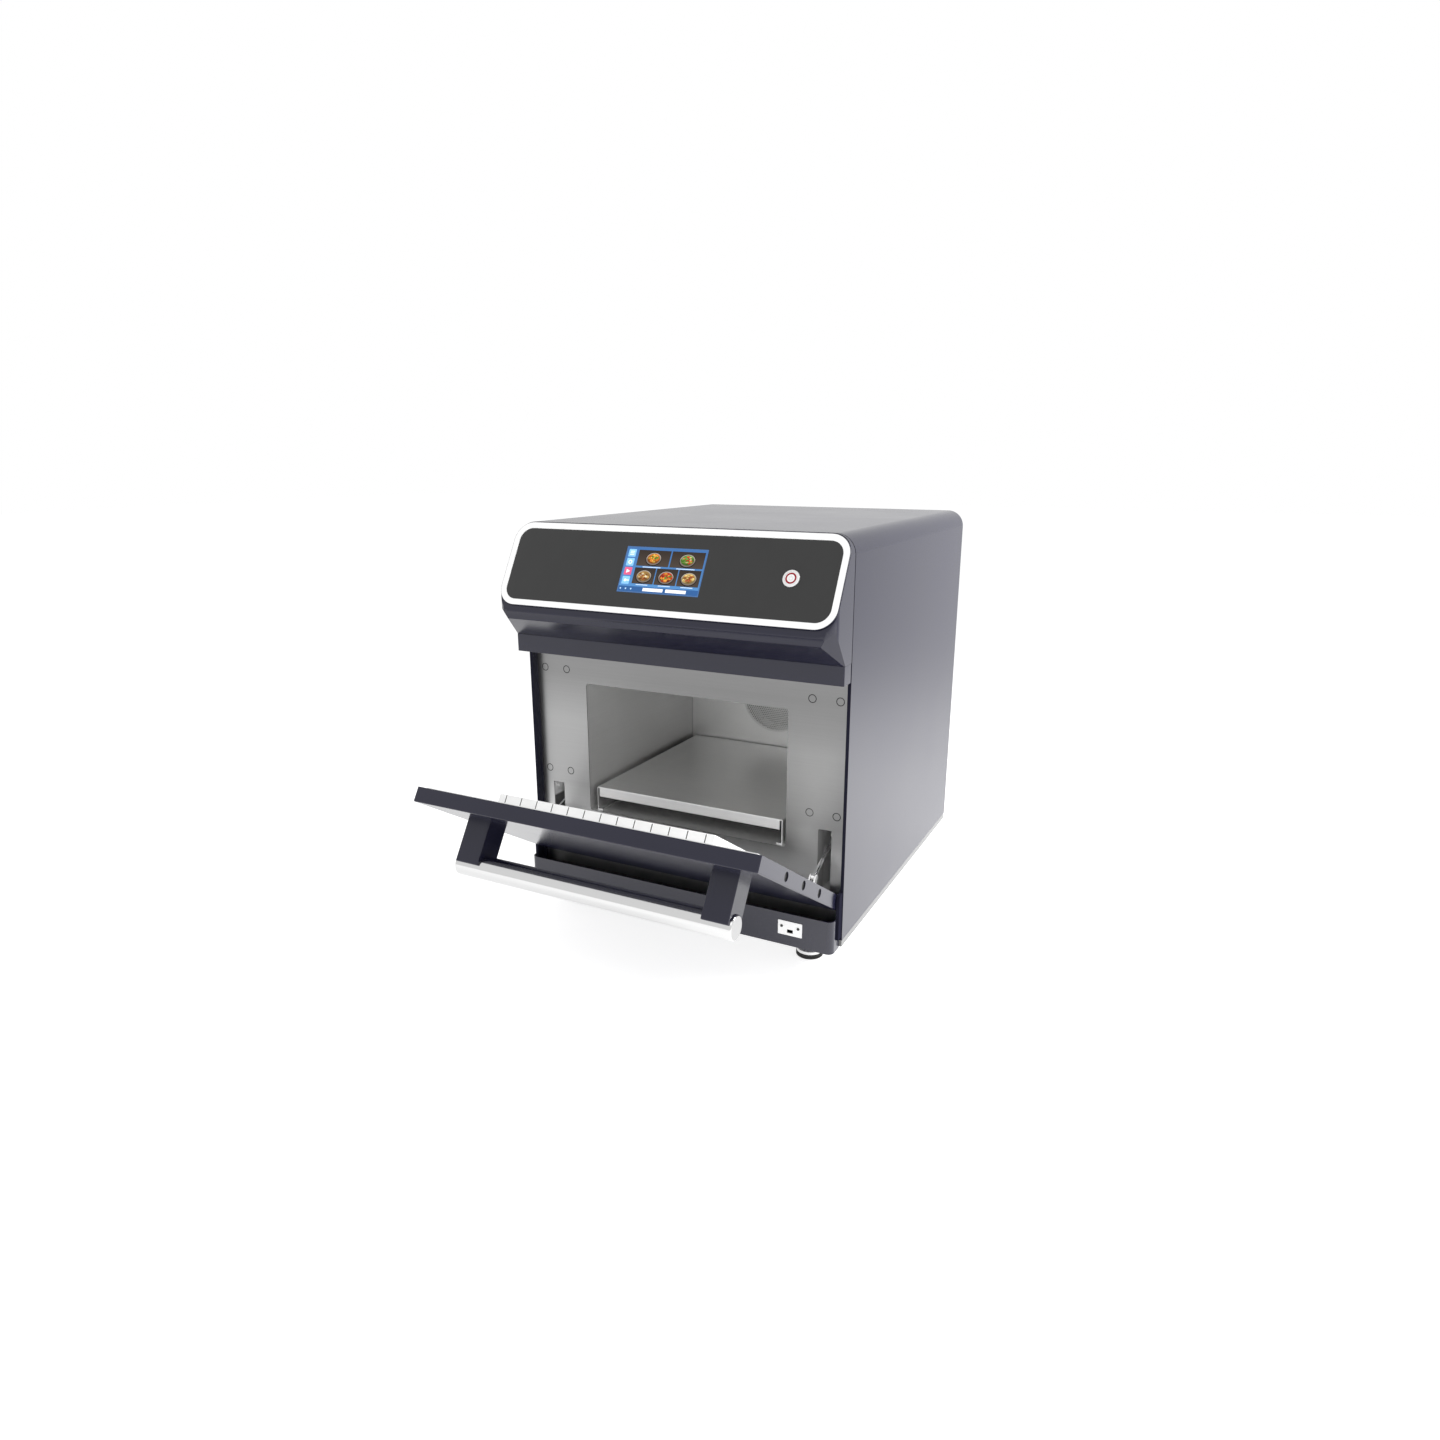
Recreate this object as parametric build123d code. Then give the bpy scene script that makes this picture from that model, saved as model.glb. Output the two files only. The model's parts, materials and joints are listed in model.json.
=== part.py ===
from build123d import *
import os
from math import cos, hypot, radians, sin, sqrt

os.makedirs("parts", exist_ok=True)

# Speed oven with a drop-down door. X runs across, Y from front to back, Z up.
# While modelling, y = 0 is the face of the steel front plate and z = 0 the worktop.
# Every node is moved at the end so that the origin is the bottom centre of the whole box.

# Driving dimensions, in millimetres: the cavity with the room round it makes the cabinet
cavity_width = 320.0
cavity_height = 196.0
cavity_depth = 322.0
side_room_width = 90.0
lower_room_height = 113.0
upper_room_height = 231.0
rear_room_depth = 205.0
foot_height = 48.0
cabinet_width = cavity_width + 2 * side_room_width
cabinet_height = lower_room_height + cavity_height + upper_room_height
cabinet_rear = cavity_depth + rear_room_depth
half_width = cabinet_width / 2
cavity_half = cavity_width / 2
cavity_low = lower_room_height
cavity_high = cavity_low + cavity_height

# Sheets, the outer wrapper and the clearances
wrapper_corner = 26.0
wrapper_front = -12.5
wrapper_sheet = 1.5
hem_thickness = 4.5
hem_depth = 24.0
wrapper_return = 18.0
steel_sheet = 1.5
overrun = 5.0
fit_gap = 0.2
running_gap = 0.06

# Hood, lip, trim and fascia
hood_seam_width = 2.0
hood_rear = wrapper_front - hood_seam_width
hood_top_reach = 19.4
hood_nose_reach = 80.0
hood_nose_drop = 108.8
hood_nose_band_height = 10.0
hood_arc_height = 10.3
hood_slope_height = 29.1
hood_nose_top = cabinet_height - hood_nose_drop
hood_arc_top = hood_nose_top - hood_nose_band_height
hood_crease = hood_arc_top - hood_arc_height
hood_arc_radius = 25.0
hood_corner = 18.0
hood_wall = 2.5
hood_tongue_rear = 8.0
hood_tongue_wall = 2.0
cheek_inset = 10.2
cheek_setback = 17.6
cheek_drop = 10.4
cheek_side = half_width - cheek_inset
cheek_reach = hood_nose_reach - cheek_setback
cheek_height = hood_crease - cheek_drop
cheek_turn = 46.7
cheek_tilt = 27.9
lip_height = 25.4
lip_seam_width = 0.3
lip_half_width = half_width - fit_gap
lip_reach = 38.2
lip_back = lip_seam_width - hood_rear
lip_high = hood_crease - hood_slope_height
lip_low = lip_high - lip_height
trim_corner = 28.0
trim_width = 9.3
trim_thickness = 2.2
fascia_thickness = 1.4
screen_width = 121.4
screen_height = 64.6
controls_rise = 0.8
screen_window_margin = 5.0
display_width = 132.0
display_height = 76.0
display_thickness = 12.0
button_inset = 68.5
button_side = half_width - button_inset
button_radius = 11.25
button_proud = 2.6
button_cap_radius = 8.2
button_cap_gap = 0.12
button_cap_sunk = 0.4
button_barrel_radius = 9.5
button_barrel_length = 22.0
button_floor = 2.0
button_cap_depth = 12.0
button_ring_radius = 7.0
button_ring_width = 1.3
button_ring_depth = 0.8
button_nut_radius = 14.0
button_nut_thickness = 4.0

# Front plate
plate_top_gap = 3.8
plate_half_width = half_width - hem_thickness
plate_top = lip_high - plate_top_gap
cavity_corner = 5.0
slot_inset = 29.0
slot_side = plate_half_width - slot_inset
slot_width = 19.0
slot_low = 55.0
slot_high = 149.0
rivet_radius = 5.2
rivet_gap = 0.15
rivet_edge_inset = 13.3
rivet_mouth_gap = 33.7
rivet_upper_gap = 17.9
rivet_lower_gap = 21.1
rivet_outer_side = plate_half_width - rivet_edge_inset
rivet_inner_side = cavity_half + rivet_mouth_gap
rivet_upper = cavity_high + rivet_upper_gap
rivet_lower = slot_high + rivet_lower_gap

# Cavity, deck and insulation
grille_drop = 75.0
grille_margin = 38.0
grille_height = cavity_high - grille_drop
grille_radius = cavity_height / 2 - grille_margin
grille_flange = 7.0
grille_flange_sheet = 1.0
grille_hole_radius = 2.0
grille_hole_pitch = 6.4
grille_row_angle = 60.0
deck_side_gap = 8.0
deck_rear_gap = 4.0
deck_half_width = cavity_half - deck_side_gap
deck_height = 36.2
deck_front = 7.2
deck_rear = cavity_depth - deck_rear_gap
deck_flange = 15.0
deck_flange_gap = 3.0
deck_lip = 9.0
deck_bend = 2.4
deck_edge = 1.2
insulation_side = 23.5
insulation_above = 24.5
insulation_below = 24.5
ceiling_port_radius = 50.0
ceiling_port_depth_in = 150.0
ceiling_cover_radius = 55.0
ceiling_cover_sheet = 1.0
stand_inset = 10.0
stand_side = cavity_half - stand_inset
stand_width = 40.0
stand_sheet = 2.0
stand_front = 30.0
stand_rear_gap = 22.0
stand_rear = cavity_depth - stand_rear_gap

# Base pan and feet
pan_side_gap = 0.5
pan_front_gap = 0.5
pan_rear_gap = 2.0
pan_half_width = half_width - pan_side_gap
pan_front = wrapper_front + pan_front_gap
pan_rear = cabinet_rear - pan_rear_gap
pan_drop = 9.5
pan_slot_length = 60.0
pan_slot_width = 5.0
pan_slot_pitch = 14.0
pan_slot_count = 9
pan_slot_inset = 102.0
pan_slot_gap = 60.0
pan_slot_front = pan_front + pan_slot_inset
pan_slot_side = stand_side - pan_slot_gap
foot_side_inset = 57.5
foot_front_inset = 29.5
foot_rear_inset = 35.0
foot_side = half_width - foot_side_inset
foot_front = pan_front + foot_front_inset
foot_rear = pan_rear - foot_rear_inset
foot_pad_radius = 19.0
foot_pad_height = 10.0
foot_pad_taper = 1.2
foot_bell_radius = 16.5
foot_bell_height = 8.0
foot_neck_radius = 8.0
foot_stud_radius = 5.0
foot_stud_rise = 7.0
foot_nut_radius = 9.5
foot_nut_height = 6.0

# Lower front panel and port plate
lower_side_gap = 4.0
lower_half_width = half_width - lower_side_gap
lower_front = 39.0
lower_top = 36.0
lower_corner = 9.0
lower_side_depth = 12.0
lower_notch = 5.0
lower_tongue = 6.0
lower_tongue_inset = 10.0
port_plate_inset = 60.5
port_plate_side = lower_half_width - port_plate_inset
port_plate_width = 35.0
port_plate_height = 20.5
port_plate_middle = 15.0
port_plate_thickness = 1.0
port_plate_corner = 1.0
port_width = 8.6
port_height = 5.0
port_middle = 11.0
port_shell = 1.2
port_depth = 14.0
port_screw_spread = 12.0
port_screw_middle = 17.2
port_screw_head = 1.9
port_screw_head_height = 0.8
port_screw_radius = 1.2
port_screw_length = 6.0

# Door, measured in its closed place from the hinge axis: z up, y towards the back
hinge_y = -17.8
hinge_z = 61.4
door_open_angle = 58.3
door_side_gap = 6.4
door_half_width = half_width - door_side_gap
door_end = 9.0
door_top_gap = 4.0
door_reach = lip_low - hinge_z - door_top_gap
door_outer = 14.1
door_inner = 5.8
door_sheet = 1.2
door_edge = 1.4
door_flange = 12.0
liner_inset = 8.5
liner_sheet = 2.0
core_gap = 0.3
choke_side_gap = 2.0
choke_low_gap = 3.4
choke_high_gap = 13.1
choke_half_width = cavity_half - choke_side_gap
choke_low = cavity_low - hinge_z + choke_low_gap
choke_high = cavity_high - hinge_z - choke_high_gap
choke_top = 24.3
choke_corner = 1.0
choke_slot_pitch = 24.4
choke_slot_width = 0.9
side_hole_radius = 6.0
side_hole_first = 78.0
side_hole_pitch = 63.5
side_hole_count = 3
side_hole_out = 3.4
side_plug_depth = 3.5
side_plug_sunk = 2.0
side_plug_gap = 0.1
arm_inset = 63.0
arm_top_inset = 59.0
arm_height = 37.4
arm_side = door_half_width - arm_inset
arm_width = 35.6
arm_high = door_reach - arm_top_inset
arm_low = arm_high - arm_height
arm_reach = 72.5
arm_edge = 1.5
bar_radius = 15.5
bar_wall = 1.5
bar_overhang = 21.4
bar_drop = 19.0
bar_half_length = arm_side + bar_overhang
bar_middle = arm_high - bar_drop
bar_out = 72.5
bar_cradle_gap = 0.1
bar_cap_length = 6.0
bar_cap_round = 3.0
arm_screw_radius = 2.5
arm_screw_head = 4.5
arm_screw_head_height = 3.0
arm_screw_length = 16.0
arm_screw_inset = 10.0

# Hinge posts, bushes and stays
post_side_gap = 0.8
post_inner = door_half_width + post_side_gap
post_thickness = 4.5
post_front = 24.5
post_low = 5.4
post_high = 70.0
post_corner = 6.0
pin_radius = 3.0
pin_reach = 14.6
pin_end = door_half_width - pin_reach
bush_radius = 4.4
clevis_up = 36.0
clevis_in = 19.0
clevis_ear = 2.2
clevis_gap = 5.0
clevis_ear_radius = 4.6
clevis_base = 2.5
clevis_base_length = 18.0
clevis_pin_radius = 2.0
stay_angle = 21.0
stay_rod_radius = 2.5
stay_eye_radius = 4.2
stay_eye_width = 4.4
stay_length = 190.0
stay_nut_radius = 7.0
stay_nut_length = 6.0
stay_nut_inset = 4.0
buffer_radius = 7.5
buffer_wire = 1.4
buffer_gap = 21.0
buffer_turns = 11
guide_side_gap = 2.0
guide_margin = 5.0
guide_depth = 70.0
guide_window_middle = 131.1
guide_window_height = 24.0
guide_window_width = 8.0
roller_height = 140.0
roller_in = 12.0
roller_radius = 4.0
roller_length = 6.0
switch_length = 28.0
switch_height = 16.0
switch_width = 10.0
switch_middle = 100.0
switch_depth = 12.0

# Convection fan and heater behind the cavity
impeller_radius = grille_radius
impeller_blade_length = 26.0
impeller_inner = impeller_radius - impeller_blade_length
heater_gap = 8.0
heater_radius = impeller_radius + heater_gap
plenum_gap = 8.0
plenum_side_gap = 37.0
plenum_depth = 54.5
plenum_half_width = heater_radius + plenum_side_gap
plenum_half_height = heater_radius + plenum_gap
plenum_low = grille_height - plenum_half_height
plenum_high = grille_height + plenum_half_height
impeller_back = 40.0
impeller_blade_depth = 26.0
impeller_disc = 1.5
impeller_blade = 1.2
impeller_blade_count = 12
impeller_blade_angle = 35.0
impeller_hub_radius = 11.0
impeller_shaft_radius = 5.0
impeller_shaft_hole = 8.0
impeller_shaft_length = 88.0
motor_flange_size = 100.0
motor_flange_sheet = 3.0
motor_radius = 42.0
motor_length = 66.0
motor_bearing_radius = 12.0
motor_bearing_length = 6.0
heater_wire = 3.25
heater_depth_in = 24.0
heater_leg_angle = 20.0
heater_leg_out = 16.0

# Microwave feed above the cavity
guide_box_half_width = 46.0
guide_box_height = 44.0
guide_box_front = 74.0
guide_box_rear = 376.0
neck_wall = 1.5
stirrer_radius = 40.0
stirrer_blade_sheet = 1.5
stirrer_blade_width = 16.0
stirrer_blade_count = 4
stirrer_blade_tilt = 18.0
stirrer_hub_radius = 7.0
stirrer_hub_height = 8.0
stirrer_above_cover = 12.0
stirrer_shaft_radius = 3.0
stirrer_shaft_rise = 14.0
stirrer_motor_radius = 25.0
stirrer_motor_height = 20.0
magnetron_first = 232.0
magnetron_pitch = 92.0
magnetron_width = 84.0
magnetron_depth = 76.0
magnetron_height = 66.0
magnetron_plate = 3.0
magnetron_antenna_radius = 8.0
magnetron_antenna_length = 28.0
magnetron_fin = 1.0
magnetron_fin_pitch = 6.0
magnetron_fin_count = 8
magnetron_yoke = 4.0
magnetron_can_radius = 20.0
magnetron_cap_height = 22.0
magnetron_cap_radius = 17.0

# Power electronics and cooling at the back
transformer_inset = 100.0
transformer_pitch = 120.0
transformer_rear_gap = 139.0
transformer_front = cabinet_rear - transformer_rear_gap
transformer_sides = (half_width - transformer_inset - transformer_pitch, half_width - transformer_inset)
transformer_width = 96.0
transformer_depth = 84.0
transformer_height = 78.0
transformer_foot = 3.0
transformer_foot_out = 8.0
transformer_coil_out = 16.0
transformer_coil_inset = 14.0
capacitor_gap = 76.0
capacitor_rear_gap = 115.0
capacitor_side = transformer_sides[0] - capacitor_gap
capacitor_front = cabinet_rear - capacitor_rear_gap
capacitor_pitch = 52.0
capacitor_radius = 20.0
capacitor_height = 96.0
capacitor_pin_radius = 3.0
capacitor_pin_height = 8.0
capacitor_pin_spread = 9.0
fan_inset = 100.0
fan_side = fan_inset - half_width
fan_middle = 104.0
fan_size = 120.0
fan_depth = 38.0
fan_bore = 56.0
fan_corner = 5.0
fan_hub_radius = 20.0
fan_blade_radius = 54.0
fan_blade_count = 7
fan_blade_sheet = 1.6
fan_blade_pitch = 32.0
fan_rotor_depth = 24.0
fan_post_radius = 6.0
fan_strut_width = 6.0
fan_strut_depth = 5.0
filter_inset = 140.0
filter_side = half_width - filter_inset
filter_width = 80.0
filter_depth = 34.0
filter_height = 45.0
filter_tab = 3.0
filter_tab_height = 10.0
board_gap = 6.0
board_width = 120.0
board_side = -(guide_box_half_width + board_gap + board_width / 2)
board_front = 40.0
board_depth = 170.0
board_sheet = 1.6
board_rise = 8.0
board_post_radius = 3.5
board_post_inset = 8.0
board_chip_height = 14.0
board_relay_width = 16.0
board_relay_depth = 26.0
board_relay_count = 4
board_relay_pitch = 24.0
board_sink_width = 34.0
board_sink_depth = 60.0
board_sink_height = 26.0

# Rear panel, screws and cord gland
rear_low_margin = 0.0
vent_slot_length = 100.0
vent_slot_height = 4.0
vent_slot_pitch = 9.0
fan_vent_count = 11
louvre_rows = 9
louvre_columns = 3
louvre_side_pitch = 125.0
louvre_low = 300.0
rear_screw_radius = 2.0
rear_screw_head = 4.2
rear_screw_head_height = 2.4
rear_screw_length = 8.0
rear_screw_inset = 9.0
rear_screw_rows = 4
gland_inset = 60.0
gland_side = half_width - gland_inset
gland_height = 60.0
gland_bore = 5.0
gland_barrel = 8.0
gland_flange = 14.0
gland_flange_length = 6.0
gland_tip = 9.0
gland_tip_length = 12.0
gland_nut_length = 6.0
gland_inside = 14.0

# Places worked out from the dimensions above
base_z = foot_height
top_z = base_z + cabinet_height
cavity_floor = base_z + cavity_low
cavity_roof = base_z + cavity_high
fan_axis_z = base_z + grille_height
hinge_height = base_z + hinge_z
cavity_back = cavity_depth + steel_sheet
shell_roof = cavity_roof + steel_sheet
insulation_top = shell_roof + insulation_above
insulation_bottom = cavity_floor - steel_sheet - insulation_below
guide_box_low = insulation_top
guide_box_top = guide_box_low + guide_box_height
slant_drop = cabinet_height - hood_nose_top
slant_run = hood_nose_reach - hood_top_reach
slant_length = hypot(slant_drop, slant_run)
lip_z = (base_z + lip_low, base_z + lip_high)
panel_rear = pan_rear
panel_front = pan_rear - steel_sheet
gland_rear = panel_rear + gland_flange_length + gland_tip_length
open_cos = cos(radians(door_open_angle))
open_sin = sin(radians(door_open_angle))
tip_up = door_reach - door_edge
tip_out = door_outer - door_edge
front_reach = hinge_y - tip_up * open_sin - tip_out * open_cos - door_edge
origin_y = (front_reach + gland_rear) / 2
to_origin = Location((0, -origin_y, 0))
door_at_rest = Pos(0, hinge_y, hinge_height) * Rot(door_open_angle, 0, 0)
slant_middle_y = -(hood_top_reach + slant_run / 2)
slant_middle_z = top_z - slant_drop / 2
slant_normal = (0, -slant_drop / slant_length, slant_run / slant_length)
fascia_frame = Plane((0, slant_middle_y, slant_middle_z), (1, 0, 0), slant_normal).location


def block(x_span, y_span, z_span):
    """Box between a low and a high limit on each axis."""
    spans = (x_span, y_span, z_span)
    middle = [(low + high) / 2 for low, high in spans]
    size = [high - low for low, high in spans]
    return Pos(*middle) * Box(*size)


def around(middle, width):
    """Low and high limit of a width centred on a place."""
    return middle - width / 2, middle + width / 2


def rod_x(radius, span, y, z):
    """Cylinder along X."""
    low, high = span
    return Pos((low + high) / 2, y, z) * Rot(0, 90, 0) * Cylinder(radius, high - low)


def rod_y(radius, x, span, z):
    """Cylinder along Y."""
    low, high = span
    return Pos(x, (low + high) / 2, z) * Rot(90, 0, 0) * Cylinder(radius, high - low)


def rod_z(radius, x, y, span):
    """Cylinder along Z."""
    low, high = span
    return Pos(x, y, (low + high) / 2) * Cylinder(radius, high - low)


def mirrored(shape):
    """The same shape on the other side of the middle plane."""
    return mirror(shape, Plane.YZ)


def both_sides(*shapes):
    """Each shape with its mirror image."""
    return [*shapes, *(mirrored(shape) for shape in shapes)]


def save(name, *shapes):
    """Write one node, moved to the part's origin."""
    solids = [solid for shape in shapes for solid in shape.solids()]
    export_step(Compound(solids).moved(to_origin), f"parts/{name}.step")


def save_door(name, *shapes):
    """Write a node of the door, turned from its closed place to the open rest pose."""
    save(name, *(door_at_rest * shape for shape in shapes))


def rounded_prism_y(width, height, radius, y_span, z_middle):
    """Prism along Y with a rounded rectangle as its outline."""
    low, high = y_span
    outline = Rot(90, 0, 0) * RectangleRounded(width, height, radius)
    return Pos(0, high, z_middle) * extrude(outline, high - low)


def wrapper_outline(inset, low):
    """Front view of the cabinet from height low up, its top corners rounded, shrunk by inset."""
    width = cabinet_width - 2 * inset
    height = top_z - inset - low
    radius = wrapper_corner - inset
    body = Pos(0, low + height / 2) * Rectangle(width, height)
    corners = body.vertices().group_by(Axis.Y)[-1]
    return fillet(corners, radius)


def wrapper_prism(inset, y_span, low):
    """The cabinet's front view carried along Y."""
    near, far = y_span
    sketch = Plane.XZ.location * wrapper_outline(inset, low)
    return Pos(0, far, 0) * extrude(sketch, far - near)


def make_outer_wrapper():
    """Top and sides from one sheet, with a closed hem in front and returns below and behind."""
    whole = (wrapper_front, cabinet_rear)
    sheet = wrapper_prism(0, whole, base_z)
    room = (wrapper_front - overrun, cabinet_rear + overrun)
    sheet -= wrapper_prism(wrapper_sheet, room, base_z - overrun)
    hem_span = (wrapper_front, wrapper_front + hem_depth)
    hem = wrapper_prism(0, hem_span, base_z)
    hem -= wrapper_prism(hem_thickness, room, base_z - overrun)
    return_span = (panel_front - steel_sheet, panel_front)
    rear_return = wrapper_prism(0, return_span, base_z)
    rear_return -= wrapper_prism(wrapper_return, room, base_z - overrun)
    sill = block(
        (half_width - wrapper_return, half_width - wrapper_sheet),
        (hem_span[1], return_span[0]),
        (base_z, base_z + wrapper_sheet),
    )
    wrapper = sheet + hem + rear_return
    for side in both_sides(sill):
        wrapper += side
    for x, z in rear_screw_places():
        wrapper -= rod_y(rear_screw_radius + fit_gap, x, room, z)
    return wrapper


def foot_places():
    """Centres of the four feet."""
    return {
        "front_left": (-foot_side, foot_front),
        "front_right": (foot_side, foot_front),
        "rear_left": (-foot_side, foot_rear),
        "rear_right": (foot_side, foot_rear),
    }


def make_base_pan():
    """Floor plate with edges turned down, weld nuts for the feet and air slots."""
    x_span = (-pan_half_width, pan_half_width)
    y_span = (pan_front, pan_rear)
    pan = block(x_span, y_span, (base_z - pan_drop, base_z))
    pan -= block(
        (x_span[0] + steel_sheet, x_span[1] - steel_sheet),
        (y_span[0] + steel_sheet, y_span[1] - steel_sheet),
        (base_z - pan_drop - overrun, base_z - steel_sheet),
    )
    stud_hole = foot_stud_radius + running_gap
    for x, y in foot_places().values():
        pan += rod_z(foot_nut_radius, x, y, (base_z - steel_sheet, base_z + foot_nut_height))
        pan -= rod_z(stud_hole, x, y, (base_z - pan_drop, base_z + pan_drop))
    for side in (-pan_slot_side, pan_slot_side):
        for row in range(pan_slot_count):
            y = pan_slot_front + row * pan_slot_pitch
            slot = SlotOverall(pan_slot_length, pan_slot_width)
            pan -= Pos(side, y, base_z - pan_drop) * extrude(slot, 2 * pan_drop)
    return pan


def make_foot(x, y):
    """Levelling foot: a rubber pad under a bell with its threaded stud."""
    pad_top = foot_pad_height
    bell_top = pad_top + foot_bell_height
    pad = make_face(
        Polyline(
            (0, 0),
            (foot_pad_radius - foot_pad_taper, 0),
            (foot_pad_radius, foot_pad_taper),
            (foot_pad_radius, pad_top),
            (0, pad_top),
            close=True,
        )
    )
    stud_top = base_z + foot_stud_rise
    bell = make_face(
        Polyline(
            (0, pad_top),
            (foot_bell_radius, pad_top),
            (foot_bell_radius, pad_top + foot_pad_taper),
            (foot_neck_radius, bell_top),
            (foot_stud_radius, bell_top),
            (foot_stud_radius, stud_top),
            (0, stud_top),
            close=True,
        )
    )
    turned = [revolve(Plane.XZ.location * face, Axis.Z) for face in (pad, bell)]
    return [Pos(x, y, 0) * shape for shape in turned]


def rivet_places():
    """Centres of the eight flush fasteners on the front plate."""
    sides = (rivet_outer_side, rivet_inner_side)
    heights = (rivet_upper, rivet_lower)
    return [(s * x, base_z + z) for s in (-1, 1) for x in sides for z in heights]


def make_front_plate():
    """Steel front plate with the cavity mouth, the stay slots and the fastener holes."""
    through = (-overrun, steel_sheet + overrun)
    plate = block(
        (-plate_half_width, plate_half_width), (0, steel_sheet), (base_z, base_z + plate_top)
    )
    mouth = rounded_prism_y(
        cavity_width,
        cavity_height,
        cavity_corner,
        through,
        (cavity_floor + cavity_roof) / 2,
    )
    plate -= mouth
    slot = block(
        around(slot_side, slot_width), through, (base_z + slot_low, base_z + slot_high)
    )
    for opening in both_sides(slot):
        plate -= opening
    for x, z in rivet_places():
        plate -= rod_y(rivet_radius + rivet_gap, x, through, z)
    return plate


def make_rivets():
    """Flush fasteners of the front plate."""
    return [rod_y(rivet_radius, x, (0, steel_sheet), z) for x, z in rivet_places()]


def make_cavity():
    """Folded cavity, open at the front plate, with a ceiling port and a fan hole."""
    middle = (cavity_floor + cavity_roof) / 2
    height = cavity_height
    outer = rounded_prism_y(
        cavity_width + 2 * steel_sheet,
        height + 2 * steel_sheet,
        cavity_corner + steel_sheet,
        (steel_sheet, cavity_back),
        middle,
    )
    room = (-overrun, cavity_depth)
    outer -= rounded_prism_y(cavity_width, height, cavity_corner, room, middle)
    hole = grille_radius + fit_gap
    outer -= rod_y(hole, 0, (cavity_depth - overrun, cavity_back + overrun), fan_axis_z)
    port = (cavity_roof - overrun, shell_roof + overrun)
    outer -= rod_z(ceiling_port_radius, 0, ceiling_port_depth_in, port)
    return outer


def make_fan_grille():
    """Perforated disc, flush with the cavity's back wall, with a flange behind the wall."""
    reach = grille_radius - 2 * grille_hole_radius
    row_pitch = grille_hole_pitch * sin(radians(grille_row_angle))
    rows = int(reach / row_pitch)
    holes = []
    for row in range(-rows, rows + 1):
        shift = grille_hole_pitch / 2 if row % 2 else 0
        columns = int(2 * reach / grille_hole_pitch)
        for column in range(-columns, columns + 1):
            x = column * grille_hole_pitch + shift
            y = row * row_pitch
            if hypot(x, y) <= reach:
                holes.append(Pos(x, y) * Wire.make_circle(grille_hole_radius))
    disc = Face(Wire.make_circle(grille_radius), holes)
    disc = Pos(0, cavity_back, fan_axis_z) * Rot(90, 0, 0) * disc
    plate = Solid.extrude(disc, Vector(0, -steel_sheet, 0))
    flange_radius = grille_radius + grille_flange
    behind = (cavity_back, cavity_back + grille_flange_sheet)
    flange = rod_y(flange_radius, 0, behind, fan_axis_z)
    flange -= rod_y(grille_radius - grille_hole_radius, 0, behind, fan_axis_z)
    return plate + flange


def make_deck():
    """Removable raised deck: top, sides with inward lips, and a short front flange."""
    low = cavity_floor
    high = cavity_floor + deck_height
    y_span = (deck_front, deck_rear)
    deck = block((-deck_half_width, deck_half_width), y_span, (low, high))
    deck = fillet(deck.edges().filter_by(Axis.Y).group_by(Axis.Z)[-1], deck_bend)
    inner = deck_half_width - steel_sheet
    through = (deck_front - overrun, deck_rear + overrun)
    deck -= block((-inner, inner), through, (low + steel_sheet, high - steel_sheet))
    lip_inner = deck_half_width - deck_lip
    deck -= block((-lip_inner, lip_inner), through, (low - overrun, high - steel_sheet))
    flange_half = deck_half_width - deck_flange_gap - steel_sheet
    deck += block(
        (-flange_half, flange_half),
        (deck_front, deck_front + steel_sheet),
        (high - deck_flange, high - steel_sheet),
    )
    front_edge = deck.edges().filter_by(Axis.X).group_by(Axis.Z)[-1].sort_by(Axis.Y)[0]
    return fillet(front_edge, deck_edge)


def make_insulation():
    """Mineral blanket round the cavity's four sides."""
    outer_half = cavity_half + steel_sheet + insulation_side
    blanket = block(
        (-outer_half, outer_half),
        (steel_sheet, cavity_back),
        (insulation_bottom, insulation_top),
    )
    blanket -= rounded_prism_y(
        cavity_width + 2 * steel_sheet,
        cavity_height + 2 * steel_sheet,
        cavity_corner + steel_sheet,
        (0, cavity_back + overrun),
        (cavity_floor + cavity_roof) / 2,
    )
    neck = ceiling_port_radius + neck_wall + fit_gap
    port = (shell_roof - overrun, insulation_top + overrun)
    blanket -= rod_z(neck, 0, ceiling_port_depth_in, port)
    return blanket


def make_stands():
    """Two folded channels that carry the insulated cavity on the base pan."""
    x_span = around(stand_side, stand_width)
    y_span = (stand_front, stand_rear)
    z_span = (base_z, insulation_bottom)
    channel = block(x_span, y_span, z_span)
    channel -= block(
        (x_span[0] + stand_sheet, x_span[1] + overrun),
        (stand_front - overrun, stand_rear + overrun),
        (z_span[0] + stand_sheet, z_span[1] - stand_sheet),
    )
    return both_sides(channel)


def hood_profile(inset, rear):
    """Side view of the hood: slanted face, nose band with a turned-in edge, slope to the lip."""
    slant_shift = trim_thickness * slant_length / slant_drop
    low = base_z + lip_high
    nose = -hood_nose_reach
    nose_top = base_z + hood_nose_top - slant_shift * slant_drop / slant_run
    top_front = -hood_top_reach + slant_shift
    arc_start = (nose, base_z + hood_arc_top)
    arc_fall = hood_arc_top - hood_crease
    arc_run = hood_arc_radius - sqrt(hood_arc_radius**2 - arc_fall**2)
    crease = (nose + arc_run, base_z + hood_crease)
    foot = (-lip_reach - fit_gap, low)
    lines = [
        Line((rear, top_z), (top_front, top_z)),
        Line((top_front, top_z), (nose, nose_top)),
        Line((nose, nose_top), arc_start),
        RadiusArc(arc_start, crease, hood_arc_radius),
        Line(crease, foot),
        Line(foot, (rear, low)),
        Line((rear, low), (rear, top_z)),
    ]
    face = make_face(lines)
    return offset(face, -inset, kind=Kind.INTERSECTION) if inset else face


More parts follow.
